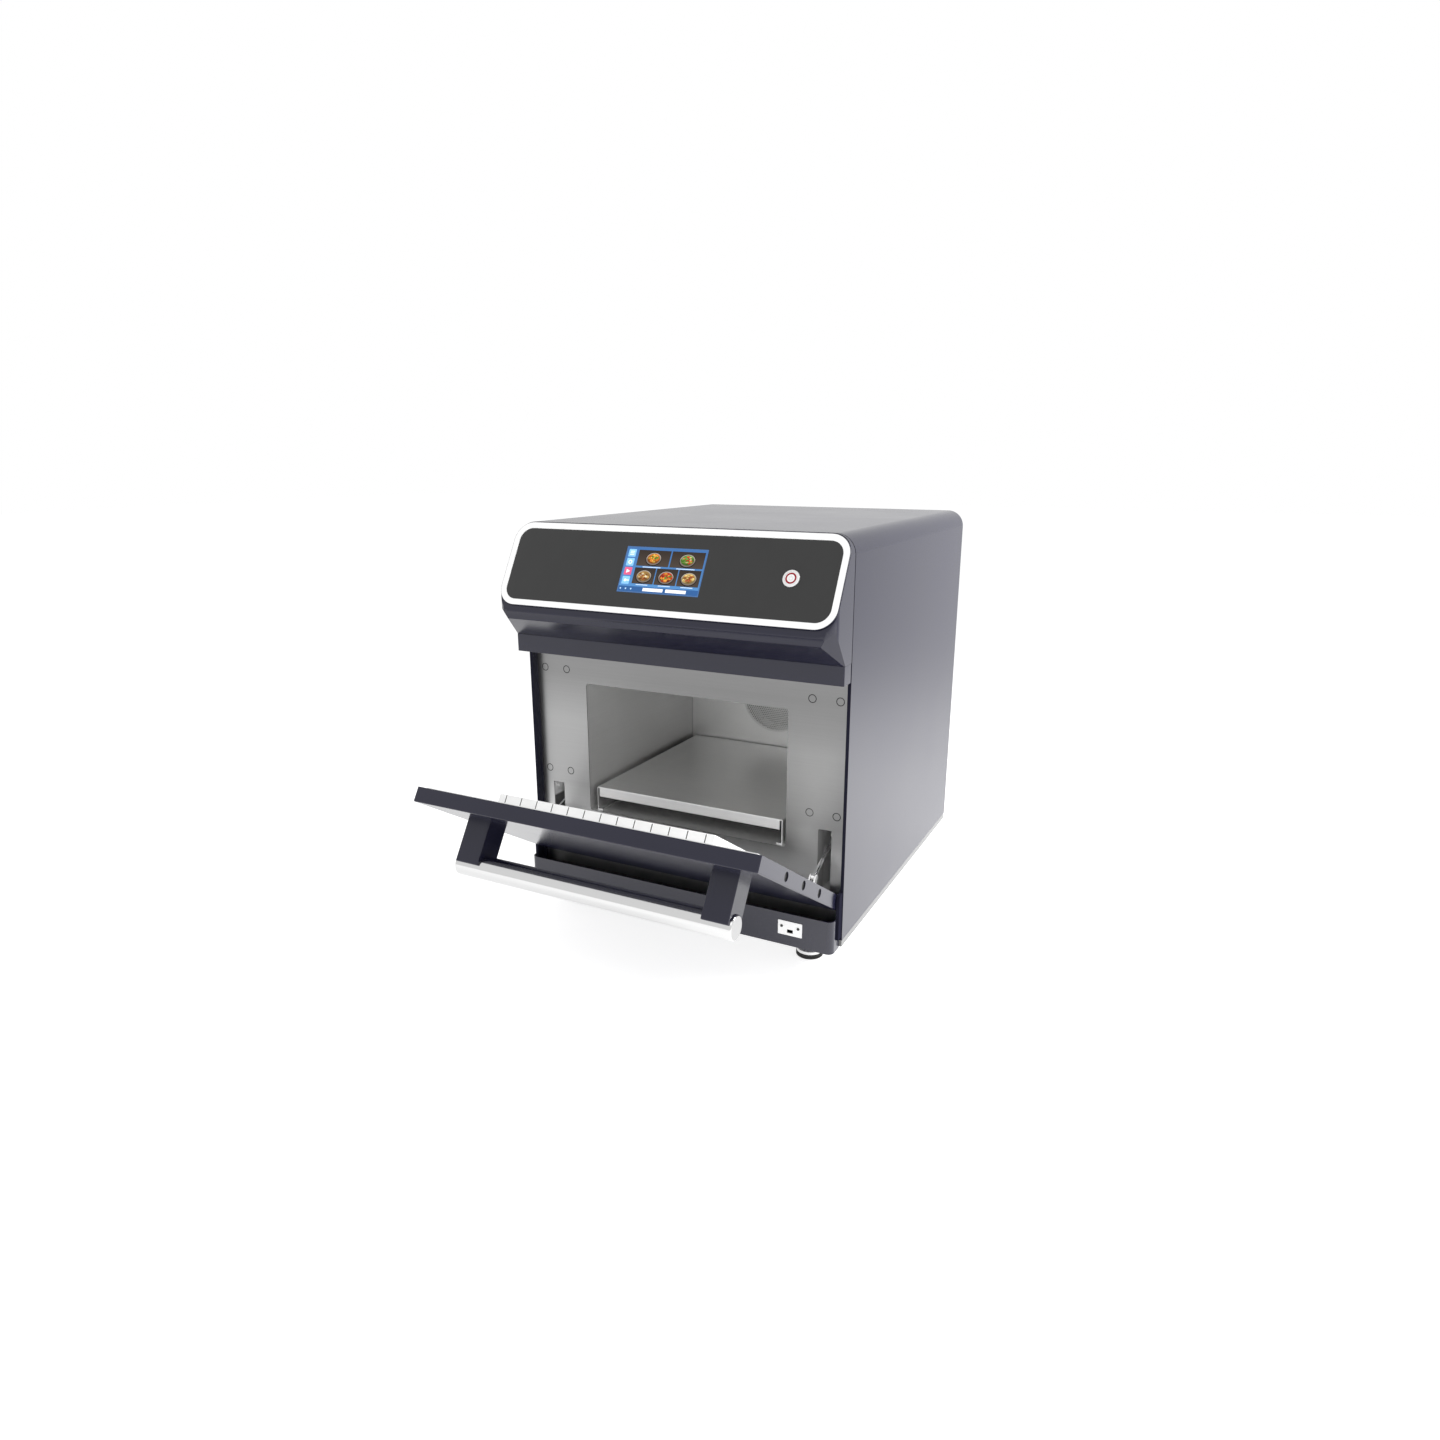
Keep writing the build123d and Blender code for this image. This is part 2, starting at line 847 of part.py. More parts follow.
def hood_form(inset):
    """Outer volume of the hood shrunk by inset, its rear left open when shrunk."""
    rear = hood_rear + 3 * inset
    wide = half_width - inset
    side_view = Plane.YZ.location * hood_profile(inset, rear)
    body = Pos(-wide, 0, 0) * extrude(side_view, 2 * wide)
    front_span = (-hood_nose_reach - overrun, rear + overrun)
    body &= wrapper_prism(inset, front_span, base_z)
    depth = hood_nose_reach - inset + cabinet_rear
    plan = Pos(0, -hood_nose_reach + inset + depth / 2) * Rectangle(2 * wide, depth)
    plan = fillet(plan.vertices().group_by(Axis.Y)[0], hood_corner - inset)
    body &= extrude(plan, top_z)
    for cut in both_sides(cheek_cut(inset)):
        body -= cut
    return body


def cheek_cut(inset):
    """Block beyond the leaning facet that joins the slope under the nose to the right cheek."""
    leaning = Pos(cheek_side, -cheek_reach, base_z + cheek_height)
    leaning *= Rot(0, 0, cheek_turn) * Rot(cheek_tilt, 0, 0)
    size = 2 * hood_nose_reach
    return leaning * Pos(0, inset - size / 2, 0) * Box(size, size, size)


def fascia_sketch(width, height, radius, rise=0.0, side=0.0):
    """Rounded rectangle on the slanted face, placed by its side and rise from the middle."""
    return Pos(side, rise) * RectangleRounded(width, height, radius)


def on_fascia(sketch, low, high):
    """Sketch of the slanted face extruded between two heights over the trim's face."""
    return fascia_frame * Pos(0, 0, low) * extrude(sketch, high - low)


def fascia_rod(radius, side, rise, low, high):
    """Cylinder square to the slanted face."""
    return on_fascia(Pos(side, rise) * Circle(radius), low, high)


def make_hood():
    """Hood shell with its tongue into the wrapper and the holes for the controls."""
    hood = hood_form(0) - hood_form(hood_wall)
    tongue_span = (hood_rear - hood_wall, hood_tongue_rear)
    low = base_z + lip_high + hood_wall
    tongue = wrapper_prism(hem_thickness, tongue_span, low)
    room = (hood_rear - 2 * overrun, hood_tongue_rear + overrun)
    tongue -= wrapper_prism(hem_thickness + hood_tongue_wall, room, low - overrun)
    hood += tongue & block(
        (-half_width, half_width), tongue_span, (low, top_z)
    )
    face = -trim_thickness
    deep = face - 2 * hood_wall
    window_width = screen_width - 2 * screen_window_margin
    window_height = screen_height - 2 * screen_window_margin
    window = Pos(0, controls_rise) * Rectangle(window_width, window_height)
    hood -= on_fascia(window, deep, face + overrun)
    barrel = button_barrel_radius + fit_gap
    hood -= fascia_rod(barrel, button_side, controls_rise, deep, face + overrun)
    return hood


def make_lip():
    """Header lip: a closed-ended channel under the hood with a tongue to the front plate."""
    low, high = lip_z
    lip = block((-lip_half_width, lip_half_width), (-lip_reach, -lip_back), (low, high))
    inner = lip_half_width - steel_sheet
    lip -= block(
        (-inner, inner),
        (-lip_reach + steel_sheet, -lip_back + overrun),
        (low + steel_sheet, high - steel_sheet),
    )
    tongue_half = plate_half_width - fit_gap
    lip += block((-tongue_half, tongue_half), (-lip_reach + steel_sheet, 0), (low, low + steel_sheet))
    return lip


def make_trim():
    """Bright frame round the slanted face."""
    ring = fascia_sketch(cabinet_width, slant_length, trim_corner)
    inner_width = cabinet_width - 2 * trim_width
    inner_height = slant_length - 2 * trim_width
    ring -= fascia_sketch(inner_width, inner_height, trim_corner - trim_width)
    return on_fascia(ring, -trim_thickness, 0)


def make_fascia():
    """Dark glass panel inside the trim, with holes for the screen and the button."""
    margin = trim_width + fit_gap
    glass = fascia_sketch(
        cabinet_width - 2 * margin, slant_length - 2 * margin, trim_corner - margin
    )
    opening = Rectangle(screen_width + 2 * fit_gap, screen_height + 2 * fit_gap)
    glass -= Pos(0, controls_rise) * opening
    glass -= Pos(button_side, controls_rise) * Circle(button_barrel_radius + fit_gap)
    return on_fascia(glass, -trim_thickness, -trim_thickness + fascia_thickness)


def make_screen():
    """Touch glass of the screen, flush with the fascia."""
    glass = Pos(0, controls_rise) * Rectangle(screen_width, screen_height)
    return on_fascia(glass, -trim_thickness, -trim_thickness + fascia_thickness)


def make_display():
    """Display module behind the hood wall."""
    back = -trim_thickness - hood_wall
    body = Pos(0, controls_rise) * Rectangle(display_width, display_height)
    return on_fascia(body, back - display_thickness, back)


def make_button_bezel():
    """Fixed bezel with its threaded barrel, closed at the bottom."""
    face = -trim_thickness + fascia_thickness
    top = face + button_proud
    bottom = face - button_barrel_length
    place = (button_side, controls_rise)
    bezel = fascia_rod(button_radius, *place, face, top)
    edge = bezel.edges().group_by(Axis(fascia_frame.position, slant_normal))[-1]
    bezel = fillet(edge, button_proud / 2)
    bezel += fascia_rod(button_barrel_radius, *place, bottom, face)
    bore = button_cap_radius + button_cap_gap
    bezel -= fascia_rod(bore, *place, bottom + button_floor, top + overrun)
    return bezel


def make_button_nut():
    """Nut that clamps the button behind the hood wall."""
    back = -trim_thickness - hood_wall
    nut = Pos(button_side, controls_rise) * RegularPolygon(button_nut_radius, 6)
    body = on_fascia(nut, back - button_nut_thickness, back)
    hole = button_barrel_radius + fit_gap
    place = (button_side, controls_rise)
    return body - fascia_rod(hole, *place, back - 2 * button_nut_thickness, back + overrun)


def make_button_cap():
    """Moving cap of the button with a groove for its ring."""
    top = -trim_thickness + fascia_thickness + button_proud - button_cap_sunk
    place = (button_side, controls_rise)
    cap = fascia_rod(button_cap_radius, *place, top - button_cap_depth, top)
    groove = top - button_ring_depth
    cut = fascia_rod(button_ring_radius, *place, groove, top + overrun)
    cut -= fascia_rod(button_ring_radius - button_ring_width, *place, groove, top + overrun)
    return cap - cut


def make_button_ring():
    """Light ring set in the cap."""
    top = -trim_thickness + fascia_thickness + button_proud - button_cap_sunk
    place = (button_side, controls_rise)
    groove = top - button_ring_depth
    ring = fascia_rod(button_ring_radius, *place, groove, top)
    return ring - fascia_rod(button_ring_radius - button_ring_width, *place, groove, top)


def port_screw_places():
    """Centres of the two screws of the port plate."""
    z = base_z + port_screw_middle
    return [(port_plate_side + s * port_screw_spread, z) for s in (-1, 1)]


def make_lower_panel():
    """Lower front panel: front, side walls and floor of the crumb trough."""
    low = base_z - pan_drop - steel_sheet
    high = base_z + lower_top
    rear = wrapper_front
    depth = lower_front + rear
    plan = Pos(0, -lower_front + depth / 2) * Rectangle(2 * lower_half_width, depth)
    plan = fillet(plan.vertices().group_by(Axis.Y)[0], lower_corner)
    panel = Pos(0, 0, low) * extrude(plan, high - low)
    inner_depth = depth + overrun
    inner_half = lower_half_width - steel_sheet
    room = Pos(0, -lower_front + steel_sheet + inner_depth / 2)
    room *= Rectangle(2 * inner_half, inner_depth)
    room = fillet(room.vertices().group_by(Axis.Y)[0], lower_corner - steel_sheet)
    panel -= Pos(0, 0, low + steel_sheet) * extrude(room, high)
    notch = block(
        (inner_half - overrun, half_width),
        (-lower_front + lower_side_depth, 0),
        (base_z + lower_notch, high + overrun),
    )
    for cut in both_sides(notch):
        panel -= cut
    tongue_half = lower_half_width - lower_tongue_inset
    tongue_front = rear - steel_sheet
    tongue = (-tongue_half, tongue_half), (tongue_front, lower_tongue), (low, low + steel_sheet)
    panel += block(*tongue)
    wall = (-lower_front - overrun, -lower_front + steel_sheet + overrun)
    shell = 2 * port_shell
    panel -= block(
        around(port_plate_side, port_width + shell + fit_gap),
        wall,
        around(base_z + port_middle, port_height + shell + fit_gap),
    )
    for x, z in port_screw_places():
        panel -= rod_y(port_screw_radius + fit_gap, x, wall, z)
    return panel


def make_port_plate():
    """Light plate round the data port."""
    span = (-lower_front - port_plate_thickness, -lower_front)
    plate = rounded_prism_y(
        port_plate_width, port_plate_height, port_plate_corner, span, base_z + port_plate_middle
    )
    plate = Pos(port_plate_side, 0, 0) * plate
    through = (span[0] - overrun, span[1] + overrun)
    plate -= block(
        around(port_plate_side, port_width), through, around(base_z + port_middle, port_height)
    )
    for x, z in port_screw_places():
        plate -= rod_y(port_screw_radius + fit_gap, x, through, z)
    return plate


def make_port_socket():
    """Metal shell of the data port with its contact tongue."""
    shell = 2 * port_shell
    z = base_z + port_middle
    back = -lower_front + port_depth
    socket = block(
        around(port_plate_side, port_width + shell),
        (-lower_front, back),
        around(z, port_height + shell),
    )
    socket -= block(
        around(port_plate_side, port_width), (-lower_front, back - port_shell), around(z, port_height)
    )
    tongue_width = port_width - 2 * shell
    tongue_front = -lower_front + port_depth / 2
    upper = z + port_height / 2
    tongue_z = (upper - port_shell, upper)
    socket += block(around(port_plate_side, tongue_width), (tongue_front, back), tongue_z)
    return socket


def make_port_screws():
    """The two screws of the port plate."""
    face = -lower_front - port_plate_thickness
    screws = []
    for x, z in port_screw_places():
        screw = rod_y(port_screw_radius, x, (face, face + port_screw_length), z)
        screw += rod_y(port_screw_head, x, (face - port_screw_head_height, face), z)
        screws.append(screw)
    return screws


def door_block(half, out, up):
    """Block of the closed door: half width, y limits and z limits from the hinge axis."""
    return block((-half, half), out, up)


def side_hole_heights():
    """Heights of the round holes in the door's sides."""
    return [side_hole_first + k * side_hole_pitch for k in range(side_hole_count)]


def arm_screw_heights():
    """Heights of the screws of one handle arm."""
    return arm_low + arm_screw_inset, arm_high - arm_screw_inset


def make_door_shell():
    """Painted door tray: outer face, four sides and an inward flange."""
    shell = door_block(door_half_width, (-door_outer, door_inner), (-door_end, door_reach))
    outer_edges = shell.edges().group_by(Axis.Y)[0] + shell.edges().filter_by(Axis.Y)
    shell = fillet(outer_edges, door_edge)
    shell -= core_room(door_sheet)
    flange_half = door_half_width - door_flange
    shell -= door_block(
        flange_half, (0, door_inner + overrun), (-door_end + door_flange, door_reach - door_flange)
    )
    deep = (door_half_width - 2 * door_sheet, door_half_width + overrun)
    bush_hole = rod_x(bush_radius, deep, 0, 0)
    holes = [bush_hole]
    for z in side_hole_heights():
        holes.append(rod_x(side_hole_radius, deep, -side_hole_out, z))
    for z in arm_screw_heights():
        wall = (-door_outer - overrun, -door_outer + 2 * door_sheet)
        holes.append(rod_y(arm_screw_radius + fit_gap, arm_side, wall, z))
    for hole in both_sides(*holes):
        shell -= hole
    return shell


def core_room(wall):
    """Space inside the door shell at a distance from its outer faces."""
    return door_block(
        door_half_width - wall,
        (-door_outer + wall, door_inner - wall),
        (-door_end + wall, door_reach - wall),
    )


def make_door_core():
    """Insulation inside the door, cut out round bushes, plugs and screw heads."""
    core = core_room(door_sheet + core_gap)
    pocket_end = door_half_width - side_plug_sunk - side_plug_depth - core_gap
    deep = (pocket_end, door_half_width)
    pockets = [rod_x(bush_radius + core_gap, (pin_end - core_gap, door_half_width), 0, 0)]
    for z in side_hole_heights():
        pockets.append(rod_x(side_hole_radius + core_gap, deep, -side_hole_out, z))
    head_room = arm_screw_head_height + 2 * core_gap
    inner_face = -door_outer + door_sheet
    for z in arm_screw_heights():
        span = (inner_face, inner_face + head_room)
        pockets.append(rod_y(arm_screw_head + core_gap, arm_side, span, z))
    for pocket in both_sides(*pockets):
        core -= pocket
    return core


def make_liner():
    """Inner sheet of the door, seated on the shell's flange."""
    return door_block(
        door_half_width - liner_inset,
        (door_inner, door_inner + liner_sheet),
        (-door_end + liner_inset, door_reach - liner_inset),
    )


def make_choke():
    """Hollow choke plug on the liner, with thin slots round its walls."""
    base = door_inner + liner_sheet
    plug = door_block(choke_half_width, (base, choke_top), (choke_low, choke_high))
    raised = plug.edges().group_by(Axis.Y)[-1] + plug.edges().filter_by(Axis.Y)
    plug = fillet(raised, choke_corner)
    plug -= door_block(
        choke_half_width - door_sheet,
        (base - overrun, choke_top - door_sheet),
        (choke_low + door_sheet, choke_high - door_sheet),
    )
    bite = 2 * door_sheet
    slot_y = (base + bite, choke_top + overrun)
    ends = [(choke_high - bite, choke_high + overrun), (choke_low - overrun, choke_low + bite)]
    columns = int(choke_half_width / choke_slot_pitch)
    for k in range(-columns, columns + 1):
        x_span = around(k * choke_slot_pitch, choke_slot_width)
        for z_span in ends:
            plug -= block(x_span, slot_y, z_span)
    middle = (choke_low + choke_high) / 2
    rows = int((choke_high - middle) / choke_slot_pitch)
    flank = (choke_half_width - bite, choke_half_width + overrun)
    for k in range(-rows, rows + 1):
        z_span = around(middle + k * choke_slot_pitch, choke_slot_width)
        for slot in both_sides(block(flank, slot_y, z_span)):
            plug -= slot
    return plug


def make_arms():
    """Two handle arms with a cradle for the bar."""
    arm = block(around(arm_side, arm_width), (-arm_reach, -door_outer), (arm_low, arm_high))
    free_edges = arm.edges().group_by(Axis.Y)[0] + arm.edges().filter_by(Axis.Y)
    arm = fillet(free_edges, arm_edge)
    cradle = (arm_side - arm_width, arm_side + arm_width)
    arm -= rod_x(bar_radius + bar_cradle_gap, cradle, -bar_out, bar_middle)
    for z in arm_screw_heights():
        span = (-door_outer - arm_screw_length, -door_outer + overrun)
        arm -= rod_y(arm_screw_radius + fit_gap / 2, arm_side, span, z)
    return both_sides(arm)


def make_bar():
    """Round tube of the handle with a domed cap in each end."""
    tube_end = bar_half_length - bar_cap_round
    tube = rod_x(bar_radius, (-tube_end, tube_end), -bar_out, bar_middle)
    bore = bar_radius - bar_wall
    tube -= rod_x(bore, (-bar_half_length, bar_half_length), -bar_out, bar_middle)
    cap = rod_x(bar_radius, (tube_end, bar_half_length), -bar_out, bar_middle)
    rim = cap.edges().group_by(Axis.X)[-1]
    cap = fillet(rim, bar_cap_round * 0.9)
    cap += rod_x(bore - fit_gap, (tube_end - bar_cap_length, tube_end), -bar_out, bar_middle)
    return [tube, *both_sides(cap)]


def make_arm_screws():
    """Screws through the door's outer sheet into the arms."""
    head_face = -door_outer + door_sheet
    screws = []
    for z in arm_screw_heights():
        shank = (-door_outer - arm_screw_length + fit_gap, head_face)
        screw = rod_y(arm_screw_radius, arm_side, shank, z)
        head = (head_face, head_face + arm_screw_head_height)
        screws.append(screw + rod_y(arm_screw_head, arm_side, head, z))
    return both_sides(*screws)


def make_side_plugs():
    """Dark plugs set below the round holes in the door's sides."""
    outer = door_half_width - side_plug_sunk
    plugs = []
    for z in side_hole_heights():
        span = (outer - side_plug_depth, outer)
        plugs.append(rod_x(side_hole_radius - side_plug_gap, span, -side_hole_out, z))
    return both_sides(*plugs)


def make_bushes():
    """Hinge bushes in the door's sides."""
    bush = rod_x(bush_radius, (pin_end, door_half_width), 0, 0)
    bush -= rod_x(pin_radius + running_gap, (pin_end - overrun, half_width), 0, 0)
    return both_sides(bush)


def make_clevises():
    """Two clevises on the liner, each with its cross pin."""
    face = door_inner + liner_sheet
    ear_outer = clevis_gap / 2 + clevis_ear
    width = 2 * ear_outer
    base = block(
        around(slot_side, width), (face, face + clevis_base), around(clevis_up, clevis_base_length)
    )
    ear_length = 2 * clevis_ear_radius
    clevis = base
    for s in (-1, 1):
        x_span = around(slot_side + s * (clevis_gap + clevis_ear) / 2, clevis_ear)
        clevis += block(x_span, (face, clevis_in), around(clevis_up, ear_length))
        clevis += rod_x(clevis_ear_radius, x_span, clevis_in, clevis_up)
    clevis += rod_x(clevis_pin_radius, around(slot_side, width), clevis_in, clevis_up)
    return both_sides(clevis)


def make_posts():
    """Two hinge posts in front of the wrapper's hem, each with its pin."""
    outer = post_inner + post_thickness
    y_span = (-post_front, wrapper_front)
    post = block((post_inner, outer), y_span, (base_z + post_low, base_z + post_high))
    crown = post.edges().filter_by(Axis.X).group_by(Axis.Z)[-1]
    post = fillet(crown.sort_by(Axis.Y)[0:1], post_corner)
    post += rod_x(pin_radius, (pin_end, outer), hinge_y, hinge_height)
    return both_sides(post)


def knuckle_place():
    """Height and depth of the stay's pivot on the door at rest."""
    y = hinge_y + clevis_in * open_cos - clevis_up * open_sin
    z = hinge_height + clevis_in * open_sin + clevis_up * open_cos
    return y, z


def stay_run(along):
    """Place along the right stay at rest, from its pivot."""
    y, z = knuckle_place()
    rise = radians(stay_angle)
    return y + along * cos(rise), z + along * sin(rise)


def make_stay(side):
    """Stay rod with its eye, buffer spring and end nut, for side 1 or -1."""
    bore = clevis_pin_radius + running_gap
    eye_span = around(slot_side, stay_eye_width)
    rod = rod_x(stay_eye_radius, eye_span, 0, 0)
    rod += rod_y(stay_rod_radius, slot_side, (bore, stay_length), 0)
    rod -= rod_x(bore, (slot_side - stay_eye_width, slot_side + stay_eye_width), 0, 0)
    pivot_y, pivot_z = knuckle_place()
    to_guide = (guide_depth - pivot_y) / cos(radians(stay_angle))
    nut_span = (stay_length - stay_nut_inset - stay_nut_length, stay_length - stay_nut_inset)
    nut = rod_y(stay_nut_radius, slot_side, nut_span, 0)
    nut -= rod_y(stay_rod_radius, slot_side, nut_span, 0)
    spring_span = (to_guide + buffer_gap, nut_span[0])
    spring = rod_y(buffer_radius, slot_side, spring_span, 0)
    hollow = stay_rod_radius + fit_gap
    spring -= rod_y(hollow, slot_side, spring_span, 0)
    pitch = (spring_span[1] - spring_span[0]) / buffer_turns
    for turn in range(buffer_turns - 1):
        middle = spring_span[0] + (turn + 1) * pitch
        span = around(middle, pitch - buffer_wire)
        groove = rod_y(buffer_radius + overrun, slot_side, span, 0)
        groove -= rod_y(buffer_radius - buffer_wire, slot_side, span, 0)
        spring -= groove
    place = Pos(0, pivot_y, pivot_z) * Rot(stay_angle, 0, 0)
    stay = [place * shape for shape in (rod, nut, spring)]
    return stay if side > 0 else [mirrored(shape) for shape in stay]


def make_guides():
    """Channel behind each slot; its back wall has the window that guides the stay."""
    inner = slot_width / 2 + guide_side_gap
    outer = inner + steel_sheet
    z_span = (base_z + slot_low - guide_margin, base_z + slot_high + guide_margin)
    y_span = (steel_sheet, guide_depth)
    channel = block((slot_side - outer, slot_side + outer), y_span, z_span)
    channel -= block(
        (slot_side - inner, slot_side + inner),
        (0, guide_depth - steel_sheet),
        (z_span[0] + steel_sheet, z_span[1] - steel_sheet),
    )
    channel -= block(
        around(slot_side, guide_window_width),
        (guide_depth - 2 * steel_sheet, guide_depth + overrun),
        around(base_z + guide_window_middle, guide_window_height),
    )
    roller_end = slot_side + inner - roller_length
    roller = rod_x(roller_radius, (roller_end, slot_side + inner), roller_in, base_z + roller_height)
    return both_sides(channel + roller)


def make_switches():
    """Door switches on the outside of the stay guides."""
    wall = slot_side + slot_width / 2 + guide_side_gap + steel_sheet
    switch = block(
        (wall, wall + switch_width),
        (switch_depth, switch_depth + switch_length),
        around(base_z + switch_middle, switch_height),
    )
    plunger_z = base_z + switch_middle + switch_height / 4
    middle = wall + switch_width / 2
    switch += rod_y(switch_width / 6, middle, (switch_depth - switch_width / 3, switch_depth), plunger_z)
    return both_sides(switch)


def make_plenum():
    """Fan box behind the cavity, open towards it, with a shaft hole."""
    y_span = (cavity_back, cavity_back + plenum_depth)
    z_span = (base_z + plenum_low, base_z + plenum_high)
    box = block((-plenum_half_width, plenum_half_width), y_span, z_span)
    inner = plenum_half_width - steel_sheet
    box -= block(
        (-inner, inner),
        (y_span[0] - overrun, y_span[1] - steel_sheet),
        (z_span[0] + steel_sheet, z_span[1] - steel_sheet),
    )
    through = (y_span[1] - overrun, y_span[1] + overrun)
    box -= rod_y(impeller_shaft_hole, 0, through, fan_axis_z)
    for x in heater_leg_sides():
        box -= rod_y(heater_wire + fit_gap, x, through, heater_leg_height())
    return box


def make_impeller():
    """Convection wheel: back disc, blades, hub and the motor shaft."""
    back = cavity_back + impeller_back
    front = back - impeller_blade_depth
    wheel = rod_y(impeller_radius, 0, (back - impeller_disc, back), fan_axis_z)
    wheel += rod_y(impeller_hub_radius, 0, (front, back), fan_axis_z)
    shaft_front = front + impeller_disc
    shaft = (shaft_front, shaft_front + impeller_shaft_length)
    wheel += rod_y(impeller_shaft_radius, 0, shaft, fan_axis_z)
    blade_length = impeller_radius - impeller_inner
    middle = (impeller_radius + impeller_inner) / 2
    y_middle = (front + back - impeller_disc) / 2
    depth = impeller_blade_depth - impeller_disc
    for k in range(impeller_blade_count):
        turn = 360 / impeller_blade_count * k
        blade = Rot(0, impeller_blade_angle, 0) * Box(blade_length, depth, impeller_blade)
        blade = Rot(0, turn, 0) * Pos(middle, 0, 0) * blade
        wheel += Pos(0, y_middle, fan_axis_z) * blade
    return wheel


def make_convection_motor():
    """Fan motor on the plenum: flange, can and rear bearing cover."""
    face = cavity_back + plenum_depth
    half = motor_flange_size / 2
    motor = block(
        (-half, half),
        (face, face + motor_flange_sheet),
        (fan_axis_z - half, fan_axis_z + half),
    )
    can_end = face + motor_flange_sheet + motor_length
    motor += rod_y(motor_radius, 0, (face, can_end), fan_axis_z)
    motor += rod_y(motor_bearing_radius, 0, (can_end, can_end + motor_bearing_length), fan_axis_z)
    shaft_end = cavity_back + impeller_back - impeller_blade_depth + impeller_shaft_length
    bore = impeller_shaft_radius + running_gap
    motor -= rod_y(bore, 0, (face - overrun, shaft_end + overrun), fan_axis_z)
    return motor


def heater_leg_sides():
    """X places of the heater's two straight legs."""
    reach = heater_radius * sin(radians(heater_leg_angle))
    return -reach, reach


def heater_leg_height():
    """Height of the heater's legs, below the fan axis."""
    return fan_axis_z - heater_radius * cos(radians(heater_leg_angle))


def make_heater():
    """Ring heater round the fan wheel, its legs going back through the plenum."""
    y = cavity_back + heater_depth_in
    sweep_angle = 360 - 2 * heater_leg_angle
    arc = CenterArc((0, 0), heater_radius, heater_leg_angle - 90, sweep_angle)
    ring_path = Pos(0, y, fan_axis_z) * Rot(90, 0, 0) * arc
    section_plane = Plane(ring_path @ 0, z_dir=ring_path % 0)
    heater = sweep(section_plane * Circle(heater_wire), ring_path)
    leg_end = cavity_back + plenum_depth + heater_leg_out
    for x in heater_leg_sides():
        heater += Pos(x, y, heater_leg_height()) * Sphere(heater_wire)
        heater += rod_y(heater_wire, x, (y, leg_end), heater_leg_height())
    return heater


def magnetron_places():
    """Y places of the two magnetrons along the waveguide."""
    return magnetron_first, magnetron_first + magnetron_pitch


def make_waveguide():
    """Rectangular guide over the cavity with a round neck down to the ceiling port."""
    y_span = (guide_box_front, guide_box_rear)
    z_span = (guide_box_low, guide_box_top)
    half = guide_box_half_width
    box = block((-half, half), y_span, z_span)
    neck = ceiling_port_radius + neck_wall
    box += rod_z(neck, 0, ceiling_port_depth_in, (shell_roof, guide_box_low + neck_wall))
    box -= block(
        (-half + neck_wall, half - neck_wall),
        (y_span[0] + neck_wall, y_span[1] - neck_wall),
        (z_span[0] + neck_wall, z_span[1] - neck_wall),
    )
    throat = (shell_roof - overrun, guide_box_low + 2 * neck_wall)
    box -= rod_z(half - 2 * neck_wall, 0, ceiling_port_depth_in, throat)
    below = (shell_roof - overrun, guide_box_low)
    box -= rod_z(ceiling_port_radius, 0, ceiling_port_depth_in, below)
    roof = (z_span[1] - overrun, z_span[1] + overrun)
    shaft_hole = stirrer_shaft_radius + fit_gap
    box -= rod_z(shaft_hole, 0, ceiling_port_depth_in, roof)
    for y in magnetron_places():
        box -= rod_z(magnetron_antenna_radius + fit_gap, 0, y, roof)
    return box


def make_ceiling_cover():
    """Microwave-clear disc over the ceiling port, inside the cavity."""
    span = (cavity_roof - ceiling_cover_sheet, cavity_roof)
    return rod_z(ceiling_cover_radius, 0, ceiling_port_depth_in, span)


def make_stirrer():
    """Mode stirrer: tilted blades on a hub, with its shaft up into the motor."""
    low = cavity_roof + stirrer_above_cover
    stirrer = rod_z(stirrer_hub_radius, 0, 0, (low, low + stirrer_hub_height))
    shaft_top = guide_box_top + stirrer_shaft_rise
    stirrer += rod_z(stirrer_shaft_radius, 0, 0, (low, shaft_top))
    length = stirrer_radius - stirrer_hub_radius / 2
    middle = stirrer_hub_radius / 2 + length / 2
    for k in range(stirrer_blade_count):
        blade = Rot(stirrer_blade_tilt, 0, 0) * Box(length, stirrer_blade_width, stirrer_blade_sheet)
        turn = Rot(0, 0, 360 / stirrer_blade_count * k)
        stirrer += Pos(0, 0, low + stirrer_hub_height / 2) * turn * Pos(middle, 0, 0) * blade
    return Pos(0, ceiling_port_depth_in, 0) * stirrer


def make_stirrer_motor():
    """Geared motor of the mode stirrer on the waveguide."""
    span = (guide_box_top, guide_box_top + stirrer_motor_height)
    motor = rod_z(stirrer_motor_radius, 0, ceiling_port_depth_in, span)
    rim = motor.edges().group_by(Axis.Z)[-1]
    motor = fillet(rim, steel_sheet)
    bore = stirrer_shaft_radius + running_gap
    bore_top = guide_box_top + stirrer_shaft_rise + fit_gap
    motor -= rod_z(bore, 0, ceiling_port_depth_in, (guide_box_top - overrun, bore_top))
    return motor


